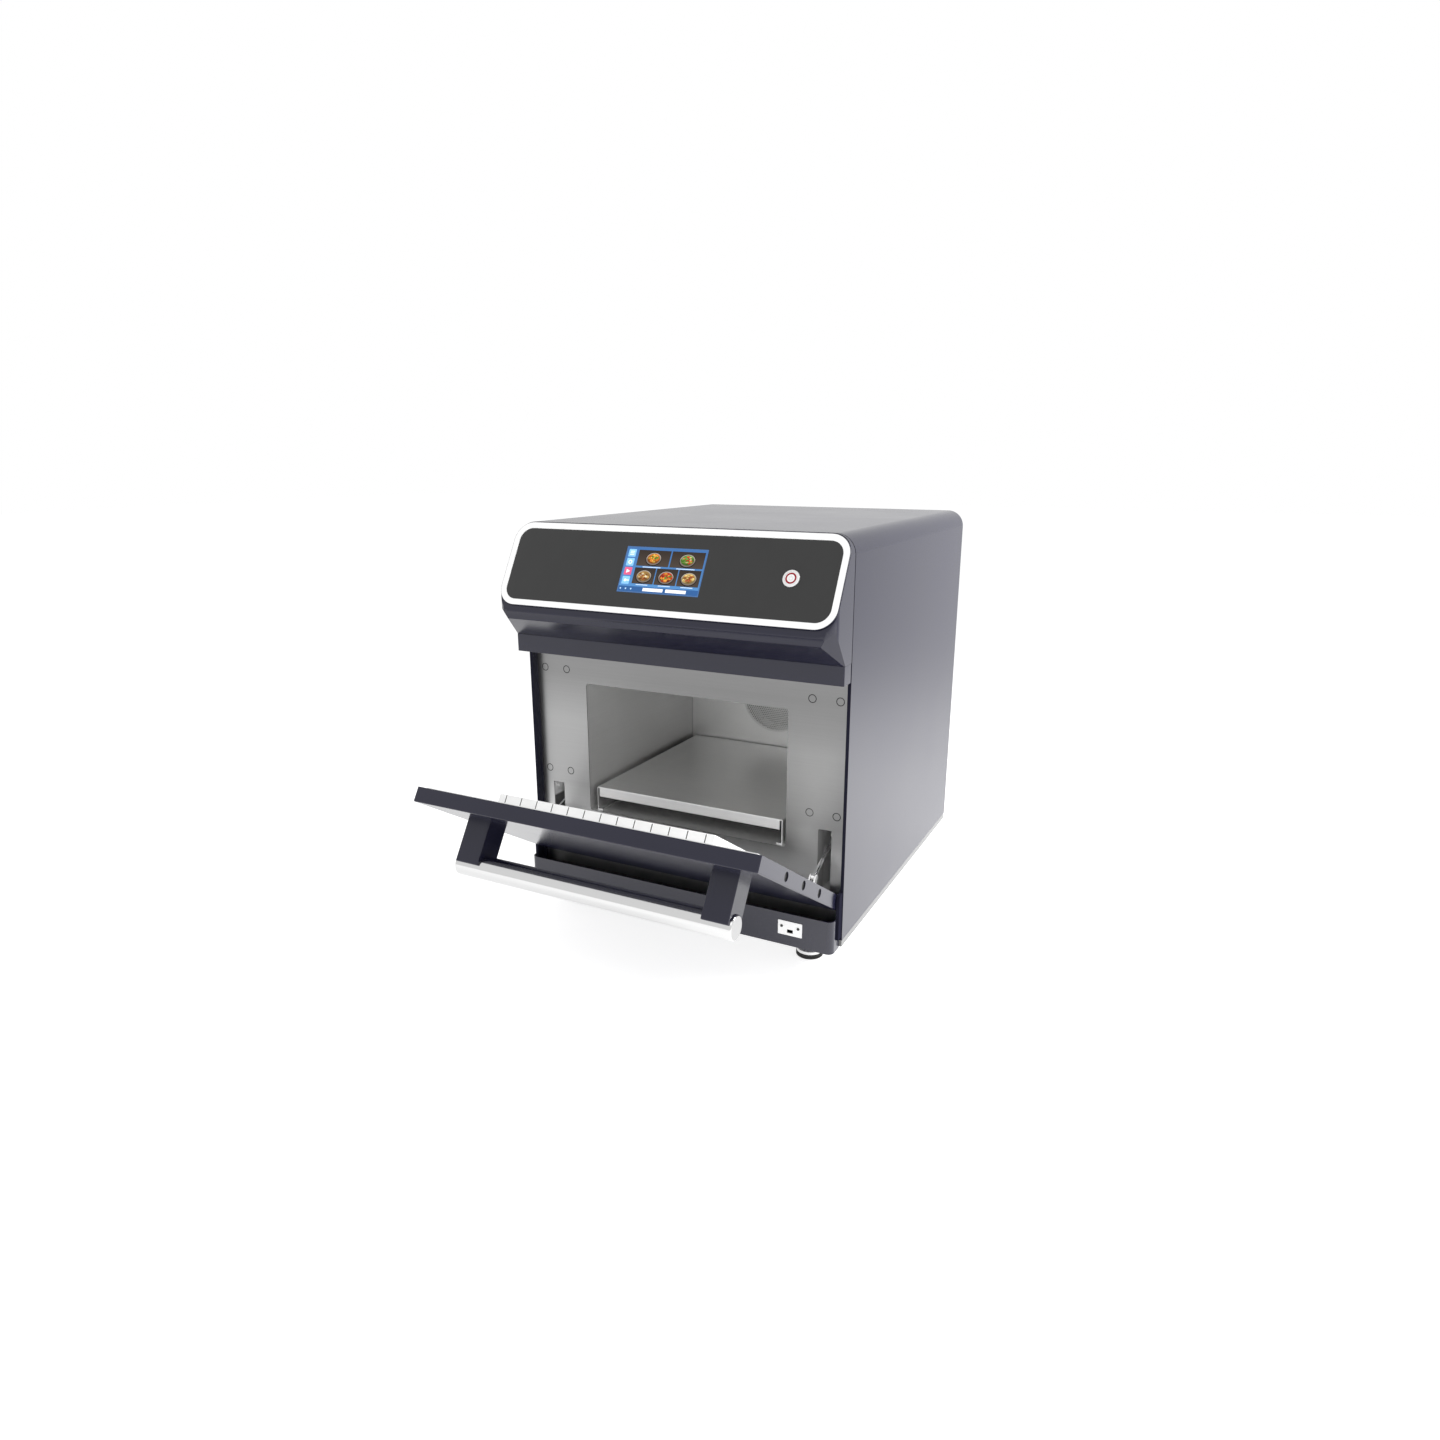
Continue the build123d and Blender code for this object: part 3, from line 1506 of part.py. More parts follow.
def make_magnetrons():
    """Magnetrons on the waveguide: base plate, yoke, fins, can, filter box and antenna."""
    group = []
    for y in magnetron_places():
        low = guide_box_top
        x_span = around(0, magnetron_width)
        y_span = around(y, magnetron_depth)
        high = low + magnetron_height
        tube = block(x_span, y_span, (low, low + magnetron_plate))
        tube += block(x_span, y_span, (high - magnetron_plate, high))
        for s in (-1, 1):
            edge = s * (magnetron_width - magnetron_yoke) / 2
            tube += block(around(edge, magnetron_yoke), y_span, (low, high))
        tube += rod_z(magnetron_can_radius, 0, y, (low, high))
        stack = magnetron_fin_pitch * (magnetron_fin_count - 1)
        first = (low + high - stack) / 2
        for k in range(magnetron_fin_count):
            z_span = around(first + k * magnetron_fin_pitch, magnetron_fin)
            tube += block(x_span, y_span, z_span)
        tube += rod_z(magnetron_cap_radius, 0, y, (high, high + magnetron_cap_height))
        antenna = (low - magnetron_antenna_length, low)
        tube += rod_z(magnetron_antenna_radius, 0, y, antenna)
        group.append(tube)
    return group


def make_transformers():
    """Two high-voltage transformers on the base pan."""
    group = []
    for x in transformer_sides:
        y_span = (transformer_front, transformer_front + transformer_depth)
        top = base_z + transformer_height
        core = block(around(x, transformer_width), y_span, (base_z, top))
        foot_width = transformer_width + 2 * transformer_foot_out
        core += block(around(x, foot_width), y_span, (base_z, base_z + transformer_foot))
        coil_y = (y_span[0] - transformer_coil_out, y_span[1] + transformer_coil_out)
        coil_z = (base_z + transformer_coil_inset, top - transformer_coil_inset)
        coil_width = transformer_width - 2 * transformer_coil_inset
        coil = block(around(x, coil_width), coil_y, coil_z)
        coil = fillet(coil.edges().filter_by(Axis.Z), transformer_coil_inset / 2)
        group.append(core + coil)
    return group


def make_capacitors():
    """Two high-voltage capacitors standing on the base pan."""
    group = []
    for k in (0, 1):
        y = capacitor_front + k * capacitor_pitch
        top = base_z + capacitor_height
        can = rod_z(capacitor_radius, capacitor_side, y, (base_z, top))
        for s in (-1, 1):
            x = capacitor_side + s * capacitor_pin_spread
            can += rod_z(capacitor_pin_radius, x, y, (top, top + capacitor_pin_height))
        group.append(can)
    return group


def make_fan_housing():
    """Square frame of the cooling fan with struts and the post of its rotor."""
    z = base_z + fan_middle
    rear = panel_front
    front = rear - fan_depth
    frame = rounded_prism_y(fan_size, fan_size, fan_corner, (front, rear), z)
    frame = Pos(fan_side, 0, 0) * frame
    frame -= rod_y(fan_bore, fan_side, (front - overrun, rear + overrun), z)
    strut_y = (front, front + fan_strut_depth)
    strut = block((fan_side - fan_bore, fan_side + fan_bore), strut_y, around(z, fan_strut_width))
    frame += strut
    frame += block(
        around(fan_side, fan_strut_width), strut_y, (z - fan_bore, z + fan_bore)
    )
    frame += rod_y(fan_hub_radius, fan_side, strut_y, z)
    post_end = front + fan_strut_depth + fan_rotor_depth
    frame += rod_y(fan_post_radius, fan_side, (front, post_end), z)
    return frame


def make_fan_rotor():
    """Cooling fan rotor: hub cup and pitched blades, turning on the post."""
    z = base_z + fan_middle
    front = panel_front - fan_depth + fan_strut_depth + fit_gap
    rear = front + fan_rotor_depth
    rotor = rod_y(fan_hub_radius, fan_side, (front, rear), z)
    length = fan_blade_radius - fan_hub_radius * 0.9
    middle = fan_blade_radius - length / 2
    y_middle = (front + rear) / 2
    for k in range(fan_blade_count):
        blade = Rot(fan_blade_pitch, 0, 0) * Box(length, fan_rotor_depth, fan_blade_sheet)
        blade = Rot(0, 360 / fan_blade_count * k, 0) * Pos(middle, 0, 0) * blade
        rotor += Pos(fan_side, y_middle, z) * blade
    reach = (front - overrun, rear + overrun)
    return rotor - rod_y(fan_post_radius + running_gap, fan_side, reach, z)


def make_line_filter():
    """Mains filter on the base pan by the cord gland."""
    x_span = around(filter_side, filter_width)
    y_span = (panel_front - filter_depth, panel_front)
    body = block(x_span, y_span, (base_z, base_z + filter_height))
    for s in (-1, 0, 1):
        x = filter_side + s * filter_width / 4
        tab = base_z + filter_height
        middle = (y_span[0] + y_span[1]) / 2
        tab_z = (tab, tab + filter_tab_height)
        body += block(around(x, filter_tab), around(middle, 2 * filter_tab), tab_z)
    return body


def make_control_board():
    """Control board on posts over the insulation, with relays and a heat sink."""
    x_span = around(board_side, board_width)
    y_span = (board_front, board_front + board_depth)
    low = insulation_top + board_rise
    top = low + board_sheet
    board = block(x_span, y_span, (low, top))
    for x in (x_span[0] + board_post_inset, x_span[1] - board_post_inset):
        for y in (y_span[0] + board_post_inset, y_span[1] - board_post_inset):
            board += rod_z(board_post_radius, x, y, (insulation_top, low))
    for k in range(board_relay_count):
        y = y_span[0] + board_relay_pitch * (k + 1)
        x = x_span[0] + board_relay_depth
        relay = around(x, board_relay_depth), around(y, board_relay_width)
        board += block(*relay, (top, top + board_chip_height))
    sink_x = x_span[1] - board_sink_width
    sink_y = (y_span[0] + y_span[1]) / 2
    board += block(
        around(sink_x, board_sink_width),
        around(sink_y, board_sink_depth),
        (top, top + board_sink_height),
    )
    return board


def rear_screw_places():
    """Centres of the screws round the rear panel."""
    x = half_width - rear_screw_inset
    low = base_z + 2 * wrapper_return
    high = top_z - 2 * wrapper_corner
    step = (high - low) / (rear_screw_rows - 1)
    places = [(s * x, low + k * step) for s in (-1, 1) for k in range(rear_screw_rows)]
    top_row = top_z - rear_screw_inset
    spread = half_width - 2 * wrapper_corner
    return places + [(s * spread, top_row) for s in (-1, 0, 1)]


def make_rear_panel():
    """Rear panel with fan slots, louvre slots, screw holes and the gland hole."""
    panel = wrapper_prism(wrapper_sheet + fit_gap, (panel_front, panel_rear), base_z)
    through = (panel_front - overrun, panel_rear + overrun)
    depth = through[1] - through[0]
    slots = []
    for k in range(fan_vent_count):
        drop = (k - (fan_vent_count - 1) / 2) * vent_slot_pitch
        chord = 2 * sqrt((fan_bore - vent_slot_height) ** 2 - drop**2)
        slots.append(Pos(fan_side, base_z + fan_middle + drop) * SlotOverall(chord, vent_slot_height))
    for column in range(louvre_columns):
        x = (column - (louvre_columns - 1) / 2) * louvre_side_pitch
        for row in range(louvre_rows):
            z = base_z + louvre_low + row * 2 * vent_slot_pitch
            slots.append(Pos(x, z) * SlotOverall(vent_slot_length, vent_slot_height))
    for slot in slots:
        panel -= Pos(0, through[1], 0) * extrude(Plane.XZ.location * slot, depth)
    for x, z in rear_screw_places():
        panel -= rod_y(rear_screw_radius + fit_gap, x, through, z)
    gland_hole = gland_barrel + fit_gap
    return panel - rod_y(gland_hole, gland_side, through, base_z + gland_height)


def make_rear_screws():
    """Pan-head screws of the rear panel."""
    screws = []
    for x, z in rear_screw_places():
        screw = rod_y(rear_screw_radius, x, (panel_rear - rear_screw_length, panel_rear), z)
        head = rod_y(rear_screw_head, x, (panel_rear, panel_rear + rear_screw_head_height), z)
        rim = head.edges().group_by(Axis.Y)[-1]
        screws.append(screw + fillet(rim, rear_screw_head_height / 2))
    return screws


def make_gland():
    """Cord gland in the rear panel with its locknut inside."""
    z = base_z + gland_height
    inner_end = panel_front - gland_inside
    barrel = rod_y(gland_barrel, gland_side, (inner_end, panel_rear), z)
    flange_end = panel_rear + gland_flange_length
    hexagon = Plane.XZ.location * RegularPolygon(gland_flange, 6)
    barrel += Pos(gland_side, flange_end, z) * extrude(hexagon, gland_flange_length)
    dome = rod_y(gland_tip, gland_side, (flange_end, gland_rear), z)
    dome = fillet(dome.edges().group_by(Axis.Y)[-1], gland_tip - gland_bore - running_gap * 10)
    barrel += dome
    barrel -= rod_y(gland_bore, gland_side, (inner_end - overrun, gland_rear + overrun), z)
    nut = Pos(gland_side, panel_front, z) * extrude(hexagon, gland_nut_length)
    nut -= rod_y(gland_barrel, gland_side, (inner_end, panel_rear), z)
    return [barrel, nut]


save("outer_wrapper", make_outer_wrapper())
save("base_pan", make_base_pan())
for name, (foot_x, foot_y) in foot_places().items():
    save(f"foot_{name}", *make_foot(foot_x, foot_y))
save("front_plate", make_front_plate())
save("front_plate_rivets", *make_rivets())
save("cavity_box", make_cavity())
save("fan_grille", make_fan_grille())
save("cook_deck", make_deck())
save("cavity_insulation", make_insulation())
save("cavity_stands", *make_stands())
save("hood_shell", make_hood())
save("hood_lip", make_lip())
save("fascia_trim", make_trim())
save("fascia_panel", make_fascia())
save("touch_screen", make_screen())
save("display_module", make_display())
save("power_button_bezel", make_button_bezel())
save("power_button_nut", make_button_nut())
save("power_button_cap", make_button_cap())
save("power_button_ring", make_button_ring())
save("lower_front_panel", make_lower_panel())
save("port_plate", make_port_plate())
save("port_socket", make_port_socket())
save("port_screws", *make_port_screws())
save("hinge_posts", *make_posts())
save("stay_guides", *make_guides())
save("door_switches", *make_switches())
save("stay_rod_left", *make_stay(-1))
save("stay_rod_right", *make_stay(1))
save_door("door_shell", make_door_shell())
save_door("door_core", make_door_core())
save_door("door_liner", make_liner())
save_door("door_choke", make_choke())
save_door("door_side_plugs", *make_side_plugs())
save_door("hinge_bushes", *make_bushes())
save_door("stay_clevises", *make_clevises())
save_door("handle_arms", *make_arms())
save_door("handle_bar", *make_bar())
save_door("handle_screws", *make_arm_screws())
save("fan_plenum", make_plenum())
save("convection_impeller", make_impeller())
save("convection_motor", make_convection_motor())
save("ring_heater", make_heater())
save("waveguide", make_waveguide())
save("ceiling_cover", make_ceiling_cover())
save("mode_stirrer", make_stirrer())
save("stirrer_motor", make_stirrer_motor())
save("magnetrons", *make_magnetrons())
save("hv_transformers", *make_transformers())
save("hv_capacitors", *make_capacitors())
save("cooling_fan_housing", make_fan_housing())
save("cooling_fan_rotor", make_fan_rotor())
save("line_filter", make_line_filter())
save("control_board", make_control_board())
save("rear_panel", make_rear_panel())
save("rear_panel_screws", *make_rear_screws())
save("cord_gland", *make_gland())
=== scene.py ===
import json
import math

import bmesh
import bpy
import numpy as np
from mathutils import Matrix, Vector

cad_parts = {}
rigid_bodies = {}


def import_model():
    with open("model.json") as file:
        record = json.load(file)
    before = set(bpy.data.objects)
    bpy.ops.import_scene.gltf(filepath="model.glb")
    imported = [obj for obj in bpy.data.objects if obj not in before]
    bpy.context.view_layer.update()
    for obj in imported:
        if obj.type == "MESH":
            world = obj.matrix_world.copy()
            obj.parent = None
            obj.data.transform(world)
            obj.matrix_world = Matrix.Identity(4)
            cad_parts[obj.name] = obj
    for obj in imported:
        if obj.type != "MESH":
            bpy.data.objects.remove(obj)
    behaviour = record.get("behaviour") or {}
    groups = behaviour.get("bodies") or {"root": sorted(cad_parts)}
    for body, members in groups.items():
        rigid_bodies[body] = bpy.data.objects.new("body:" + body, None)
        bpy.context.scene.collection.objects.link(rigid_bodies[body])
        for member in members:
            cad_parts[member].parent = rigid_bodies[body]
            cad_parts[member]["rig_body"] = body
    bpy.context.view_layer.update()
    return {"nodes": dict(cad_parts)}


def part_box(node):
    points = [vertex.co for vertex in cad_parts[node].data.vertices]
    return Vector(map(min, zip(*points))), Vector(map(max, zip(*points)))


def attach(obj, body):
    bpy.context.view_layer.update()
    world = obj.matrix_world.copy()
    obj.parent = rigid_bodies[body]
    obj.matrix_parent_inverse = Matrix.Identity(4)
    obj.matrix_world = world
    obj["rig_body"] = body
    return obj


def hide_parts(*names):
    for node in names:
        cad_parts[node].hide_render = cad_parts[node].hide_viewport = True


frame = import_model()
nodes = frame["nodes"]

# Lengths are in millimetres; places are measured from the front plate's face and foot
MM = 0.001
PLATE_FOOT = np.array((0.0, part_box("front_plate")[0].y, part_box("front_plate")[0].z))
X, Y, Z = 0, 1, 2
ACROSS = np.array((1.0, 0.0, 0.0))
UPRIGHT = np.array((0.0, 0.0, 1.0))
FORWARD = np.array((0.0, -1.0, 0.0))


def place(points):
    """Millimetres from the front plate's foot to metres in the row frame."""
    return np.asarray(points) * MM + PLATE_FOOT


# Hood's slanted face, and where the controls sit on it
CABINET_HEIGHT = 540.0
SLANT_TOP_Y = -19.4
SLANT_DROP = 108.8
SLANT_RUN = 60.6
SLANT = math.hypot(SLANT_DROP, SLANT_RUN)
UP_SLANT = np.array((0.0, SLANT_RUN, SLANT_DROP)) / SLANT
OUT_SLANT = np.array((0.0, -SLANT_DROP, SLANT_RUN)) / SLANT
SLANT_MIDDLE = place((0.0, SLANT_TOP_Y - SLANT_RUN / 2, CABINET_HEIGHT - SLANT_DROP / 2))
CONTROL_RISE = 0.8
CONTROLS_MIDDLE = SLANT_MIDDLE + UP_SLANT * CONTROL_RISE * MM

# Print on the power button: an open ring with a bar, and the red band
BUTTON_X = 181.5
BUTTON_FACE_LEVEL = 1.4
MARK_LIFT = 0.02
MARK_RADII = (2.3, 2.9)
MARK_START = 125.0
MARK_SWEEP = 290.0
MARK_BAR_WIDTH = 0.6
MARK_BAR_ENDS = (0.6, 3.4)
BAND_RADII = (5.1, 7.3)

# Picture on the touch screen, from the screen's middle
GLASS_LEVEL = -0.8
PICTURE_LIFT = 0.03
PICTURE_STEP = 0.0015
PAGE_WIDTH = 118.4
PAGE_HEIGHT = 61.6
PAGE_ROUND = 0.6
FOOT_BAR_HEIGHT = 7.2
FIELD_WIDTH = 30.0
FIELD_HEIGHT = 4.4
FIELD_LEFTS = (-22.0, 12.0)
DOT_RADIUS = 1.1
DOT_PLACES = (-56.0, -48.0, -40.0)
KEY_WIDTH = 11.2
KEY_HEIGHT = 10.8
KEY_PITCH = 12.8
KEY_LEFT = -56.6
KEY_TOP_ROW = 17.4
TILE_HEIGHT = 22.4
TILE_LEFT = -41.0
WIDE_TILE_WIDTH = 48.4
WIDE_TILE_PITCH = 50.4
WIDE_TILE_ROW = 5.4
SMALL_TILE_WIDTH = 31.8
SMALL_TILE_PITCH = 33.4
SMALL_TILE_ROW = -19.6

# Levelling feet: half outlines as radius and height, and the stud's thread
PAD_OUTLINE = [(16.2, 0.0), (17.9, 0.0), (18.7, 0.5), (19.0, 1.2), (19.0, 2.8), (18.3, 3.2)]
PAD_OUTLINE += [(18.3, 3.8), (19.0, 4.2), (19.0, 5.6), (18.6, 6.3), (17.8, 6.6), (16.5, 6.6)]
BELL_OUTLINE = [(5.0, 6.6), (17.9, 6.6), (18.3, 7.0), (18.3, 10.6), (17.6, 11.5), (13.6, 13.9)]
BELL_OUTLINE += [(10.2, 16.4), (8.6, 17.4), (7.8, 17.9), (5.2, 18.0), (5.0, 18.2)]
STUD_OUTLINE = [(5.0, 40.0), (5.0, 54.9), (4.4, 55.0)]
THREAD_RADII = (4.6, 5.0)
THREAD_FOOT = 18.6
THREAD_STEP = 0.4
THREAD_POINTS = 52

# Perforated disc; the two shares are in pitches
GRILLE_RADIUS = 60.0
GRILLE_PITCH = 3.7
GRILLE_HOLE_RADIUS = 1.2
GRILLE_DEPTH = 1.2
GRILLE_RIM_LIFT = 0.02
GRILLE_RIM_SHARE = 0.9
GRILLE_EDGE_SHARE = 0.62

# Flush fasteners of the front plate, with a ring of painted shade round each
FASTENER_RADIUS = 5.2
FASTENER_SPACING = 38.5
FASTENER_SHADE_RADII = (4.65, 5.8)
FASTENER_SHADE_LIFT = 0.03

# Door as it lies at rest, and its choke's ends and slots, measured from the door's foot
DOOR_LEAN = math.radians(58.3)
DOOR_FOOT = np.array((0.0, -17.8, 61.4))
OUT_OF_DOOR = np.array((0.0, -math.cos(DOOR_LEAN), -math.sin(DOOR_LEAN)))
UP_DOOR = np.array((0.0, -math.sin(DOOR_LEAN), math.cos(DOOR_LEAN)))
CHOKE_LOW = 55.0
CHOKE_HIGH = 234.5
CHOKE_SLOT_PITCH = 24.4
CHOKE_SLOT_LEVELS = (-10.4, -23.2)
# Rectangles of painted shade laid in the choke's slots
CHOKE_SHADE_WIDTH = 1.2
CHOKE_SHADE_LIFT = 0.05


# Materials


class Signal:
    """One output of a shader node, which takes plain arithmetic."""

    def __init__(self, surface, socket):
        self.surface = surface
        self.socket = socket

    def calc(self, operation, other):
        """Math node of this signal and another signal or a number."""
        settings = {"operation": operation}
        return self.surface.node("ShaderNodeMath", settings, {0: self, 1: other})

    def __add__(self, other):
        return self.calc("ADD", other)

    def __mul__(self, other):
        return self.calc("MULTIPLY", other)

    __radd__ = __add__
    __rmul__ = __mul__


def rgba(colour):
    """Four parts for a colour socket, from a grey or three parts; a signal stays as it is."""
    if isinstance(colour, Signal):
        return colour
    if isinstance(colour, float):
        colour = (colour, colour, colour)
    return (*colour, 1.0)


class Surface:
    """A material with one Principled shader and the pattern nodes that feed it."""

    def __init__(self, name, **constants):
        self.material = bpy.data.materials.new(name)
        self.material.use_nodes = True
        self.tree = self.material.node_tree
        self.shader = self.tree.nodes["Principled BSDF"]
        self.feed(**constants)

    def join(self, value, socket):
        """Link a signal to a socket, or set the socket's own value."""
        if isinstance(value, Signal):
            self.tree.links.new(value.socket, socket)
        else:
            socket.default_value = value

    def feed(self, **inputs):
        """Set or link the shader's inputs; base_color stands for Base Color."""
        for name, value in inputs.items():
            label = name.replace("_", " ").title().replace("Ior", "IOR")
            if label.endswith("Color"):
                value = rgba(value)
            self.join(value, self.shader.inputs[label])

    def node(self, kind, settings, sockets, output=0):
        """Any other node: its settings, the values or links of its sockets, and one output."""
        made = self.tree.nodes.new(kind)
        for key, value in settings.items():
            setattr(made, key, value)
        for key, value in sockets.items():
            self.join(value, made.inputs[key])
        return Signal(self, made.outputs[output])

    def position(self):
        """Place on the object, in metres."""
        return self.node("ShaderNodeTexCoord", {}, {}, "Object")

    def noise(self, repeats, detail=2.0, rough=0.5):
        """Noise from 0 to 1, with its repeats per metre along X, Y and Z."""
        settings = {"operation": "MULTIPLY"}
        scaled = self.node("ShaderNodeVectorMath", settings, {0: self.position(), 1: repeats})
        sockets = {"Vector": scaled, "Scale": 1.0, "Detail": detail, "Roughness": rough}
        return self.node("ShaderNodeTexNoise", {"noise_dimensions": "3D"}, sockets)

    def blend(self, factor, low, high):
        """Colour between two colours."""
        sockets = {0: factor, 6: rgba(low), 7: rgba(high)}
        return self.node("ShaderNodeMix", {"data_type": "RGBA"}, sockets, 2)

    def ramp(self, axis, limits, values):
        """Value that goes from one to another between two places on an axis, in metres."""
        along = self.node("ShaderNodeSeparateXYZ", {}, {0: self.position()}, axis)
        sockets = {"Value": along, "From Min": limits[0], "From Max": limits[1]}
        sockets.update({"To Min": values[0], "To Max": values[1]})
        return self.node("ShaderNodeMapRange", {}, sockets)

    def bump(self, height, depth, strength=0.3):
        """Normal from a height pattern; depth in metres."""
        sockets = {"Height": height, "Distance": depth, "Strength": strength}
        return self.node("ShaderNodeBump", {}, sockets)


def shade(colour, factor):
    """A colour made darker or lighter."""
    return tuple(min(1.0, part * factor) for part in colour)


def along_axis(axis, long_repeats, fine_repeats):
    """Repeats per metre of streaks that run along one axis."""
    repeats = [fine_repeats] * 3
    repeats[axis] = long_repeats
    return tuple(repeats)


def coating(name, colour, roughness, peel, **extra):
    """Powder coat: faint cloudiness, uneven gloss and fine orange peel."""
    surface = Surface(name, **extra)
    cloud = surface.noise((9, 9, 9), detail=3.0)
    speck = surface.noise((1400, 1400, 1400), detail=1.0)
    surface.feed(
        base_color=surface.blend(cloud, shade(colour, 0.85), shade(colour, 1.15)),
        roughness=cloud * 0.06 + speck * 0.04 + (roughness - 0.05),
        normal=surface.bump(speck, depth=0.00004, strength=peel),
    )
    return surface.material


def brushed(name, colour, roughness, along, contrast=0.12, metallic=1.0):
    """Brushed sheet: long fine streaks along one axis over a faint large unevenness."""
    surface = Surface(name, metallic=metallic)
    streak = surface.noise(along_axis(along, 14, 2600), detail=3.0, rough=0.6)
    band = surface.noise(along_axis(along, 5, 420))
    cloud = surface.noise((5, 5, 5))
    tone = streak * 0.5 + band * 0.3 + cloud * 0.2
    surface.feed(
        base_color=surface.blend(tone, shade(colour, 1 - contrast), shade(colour, 1 + contrast)),
        roughness=streak * 0.12 + cloud * 0.05 + (roughness - 0.08),
        normal=surface.bump(streak, depth=0.00003, strength=0.25),
    )
    return surface.material


def polished(name, colour, roughness):
    """Polished or plated metal with faint wipe marks."""
    surface = Surface(name, metallic=1.0)
    wipe = surface.noise((60, 25, 60), detail=3.0)
    fine = surface.noise((900, 300, 900))
    surface.feed(
        base_color=surface.blend(wipe, shade(colour, 0.96), colour),
        roughness=wipe * 0.06 + fine * 0.03 + (roughness - 0.03),
        normal=surface.bump(fine, depth=0.00001, strength=0.1),
    )
    return surface.material


def moulded(name, colour, roughness, grain=1100, depth=0.00005, **extra):
    """Moulded plastic or rubber with a fine grain."""
    surface = Surface(name, **extra)
    cloud = surface.noise((14, 14, 14))
    speck = surface.noise((grain, grain, grain))
    tone = speck * 0.6 + cloud * 0.4
    surface.feed(
        base_color=surface.blend(tone, shade(colour, 0.85), shade(colour, 1.15)),
        roughness=cloud * 0.08 + speck * 0.06 + (roughness - 0.07),
        normal=surface.bump(speck, depth),
    )
    return surface.material


def smooth_gloss(name, colour, roughness, **extra):
    """Smooth glass-like surface with faint smears."""
    surface = Surface(name, **extra)
    smear = surface.noise((40, 12, 30), detail=4.0)
    dust = surface.noise((2200, 2200, 2200), detail=1.0)
    surface.feed(
        base_color=surface.blend(smear, shade(colour, 0.92), shade(colour, 1.08)),
        roughness=smear * 0.08 + dust * 0.02 + (roughness - 0.03),
        normal=surface.bump(dust, depth=0.000008, strength=0.1),
    )
    return surface.material


def mineral(name, colour):
    """Loose fibrous blanket."""
    surface = Surface(name)
    tuft = surface.noise((120, 120, 120), detail=5.0, rough=0.7)
    fibre = surface.noise((900, 250, 900), detail=4.0)
    surface.feed(
        base_color=surface.blend(tuft, shade(colour, 0.7), shade(colour, 1.1)),
        roughness=fibre * 0.1 + 0.85,
        normal=surface.bump(tuft + fibre * 0.3, depth=0.0015, strength=0.8),
    )
    return surface.material


def screen_print():
    """Lit picture that takes its colours from the mesh attribute tint."""
    surface = Surface("screen_picture", roughness=0.2, specular_ior_level=0.1)
    tint = surface.node("ShaderNodeAttribute", {"attribute_name": "tint"}, {})
    surface.feed(base_color=tint, emission_color=tint, emission_strength=0.25)
    return surface.material


def guide_plastic():
    """Stay guides, the left one with painted light at its raised end and painted shade under it.
    """
    surface = Surface("guide_plastic", roughness=0.55)
    between_guides = (-0.02, 0.02)
    behind_front = (-0.110, -0.104)
    below_raised_end = (0.171, 0.174)
    left = surface.ramp(X, between_guides, (1.0, 0.0))
    front = surface.ramp(Y, behind_front, (1.0, 0.0))
    raised = surface.ramp(Z, below_raised_end, (0.0, 1.0))
    # Near the front the left guide has painted light above its raised end and painted shade below
    # it; deeper in, both guides are plain grey.
    painted_light_top = surface.blend(left, 0.40, 1.0)
    under = surface.blend(left, 0.40, 0.16)
    surface.feed(base_color=surface.blend(front, 0.62, surface.blend(raised, under, painted_light_top)))
    return surface.material


def plate_steel():
    """Brushed front plate, with painted shade just under the hood and painted light by the door.
    """
    surface = Surface("front_steel", metallic=1.0)
    beside_door = (0.12, 0.20)
    below_hood = (0.30, 0.37)
    streak = surface.noise(along_axis(X, 14, 2600), detail=3.0, rough=0.6)
    band = surface.noise(along_axis(X, 5, 420))
    # Painted shade: the sheet is darker just under the hood. Painted light: it is much lighter
    # low down by the door.
    clear_of_painted_shade = surface.ramp(Z, below_hood, (1.0, 0.0))
    painted_light_by_door = surface.ramp(Z, beside_door, (1.0, 0.0))
    low = surface.blend(painted_light_by_door, surface.blend(clear_of_painted_shade, 0.20, 0.30), 0.62)
    high = surface.blend(painted_light_by_door, surface.blend(clear_of_painted_shade, 0.25, 0.37), 0.75)
    surface.feed(
        base_color=surface.blend(streak * 0.6 + band * 0.4, low, high),
        roughness=streak * 0.12 + 0.28,
        normal=surface.bump(streak, depth=0.00003, strength=0.25),
    )
    return surface.material


def cavity_steel():
    """Brushed cavity sheet, with painted shade on its left wall, deeper towards the back."""
    surface = Surface("cavity_steel", metallic=0.8)
    sheet = 0.0015
    wall_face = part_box("cavity_box")[0].x + sheet
    off_wall = (wall_face + 0.0005, wall_face + 0.0015)
    mouth_to_back = (-0.06, 0.20)
    streak = surface.noise(along_axis(Y, 14, 2600), detail=3.0, rough=0.6)
    band = surface.noise(along_axis(Y, 5, 420))
    left_wall = surface.ramp(X, off_wall, (1.0, 0.0))
    # Painted shade on the left wall, growing towards the back.
    shadow = surface.ramp(Y, mouth_to_back, (0.0, 1.0)) * left_wall
    low = surface.blend(shadow, (0.74, 0.74, 0.735), 0.42)
    high = surface.blend(shadow, (0.86, 0.86, 0.855), 0.52)
    surface.feed(
        base_color=surface.blend(streak * 0.6 + band * 0.4, low, high),
        roughness=streak * 0.12 + 0.36,
        normal=surface.bump(streak, depth=0.00003, strength=0.25),
    )
    return surface.material


def bar_steel():
    """Polished handle bar with duller ends."""
    surface = Surface("bar_steel", metallic=1.0)
    fine = surface.noise((900, 300, 900))
    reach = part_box("handle_bar")[1].x
    inner, outer = reach - 0.0004, reach - 0.0002
    right_end = surface.ramp(X, (inner, outer), (0.0, 1.0))
    left_end = surface.ramp(X, (-outer, -inner), (1.0, 0.0))
    end = right_end + left_end
    surface.feed(
        base_color=surface.blend(end, 0.63, 0.42),
        roughness=fine * 0.05 + end * 0.3 + 0.09,
        normal=surface.bump(fine, depth=0.00001, strength=0.1),
    )
    return surface.material


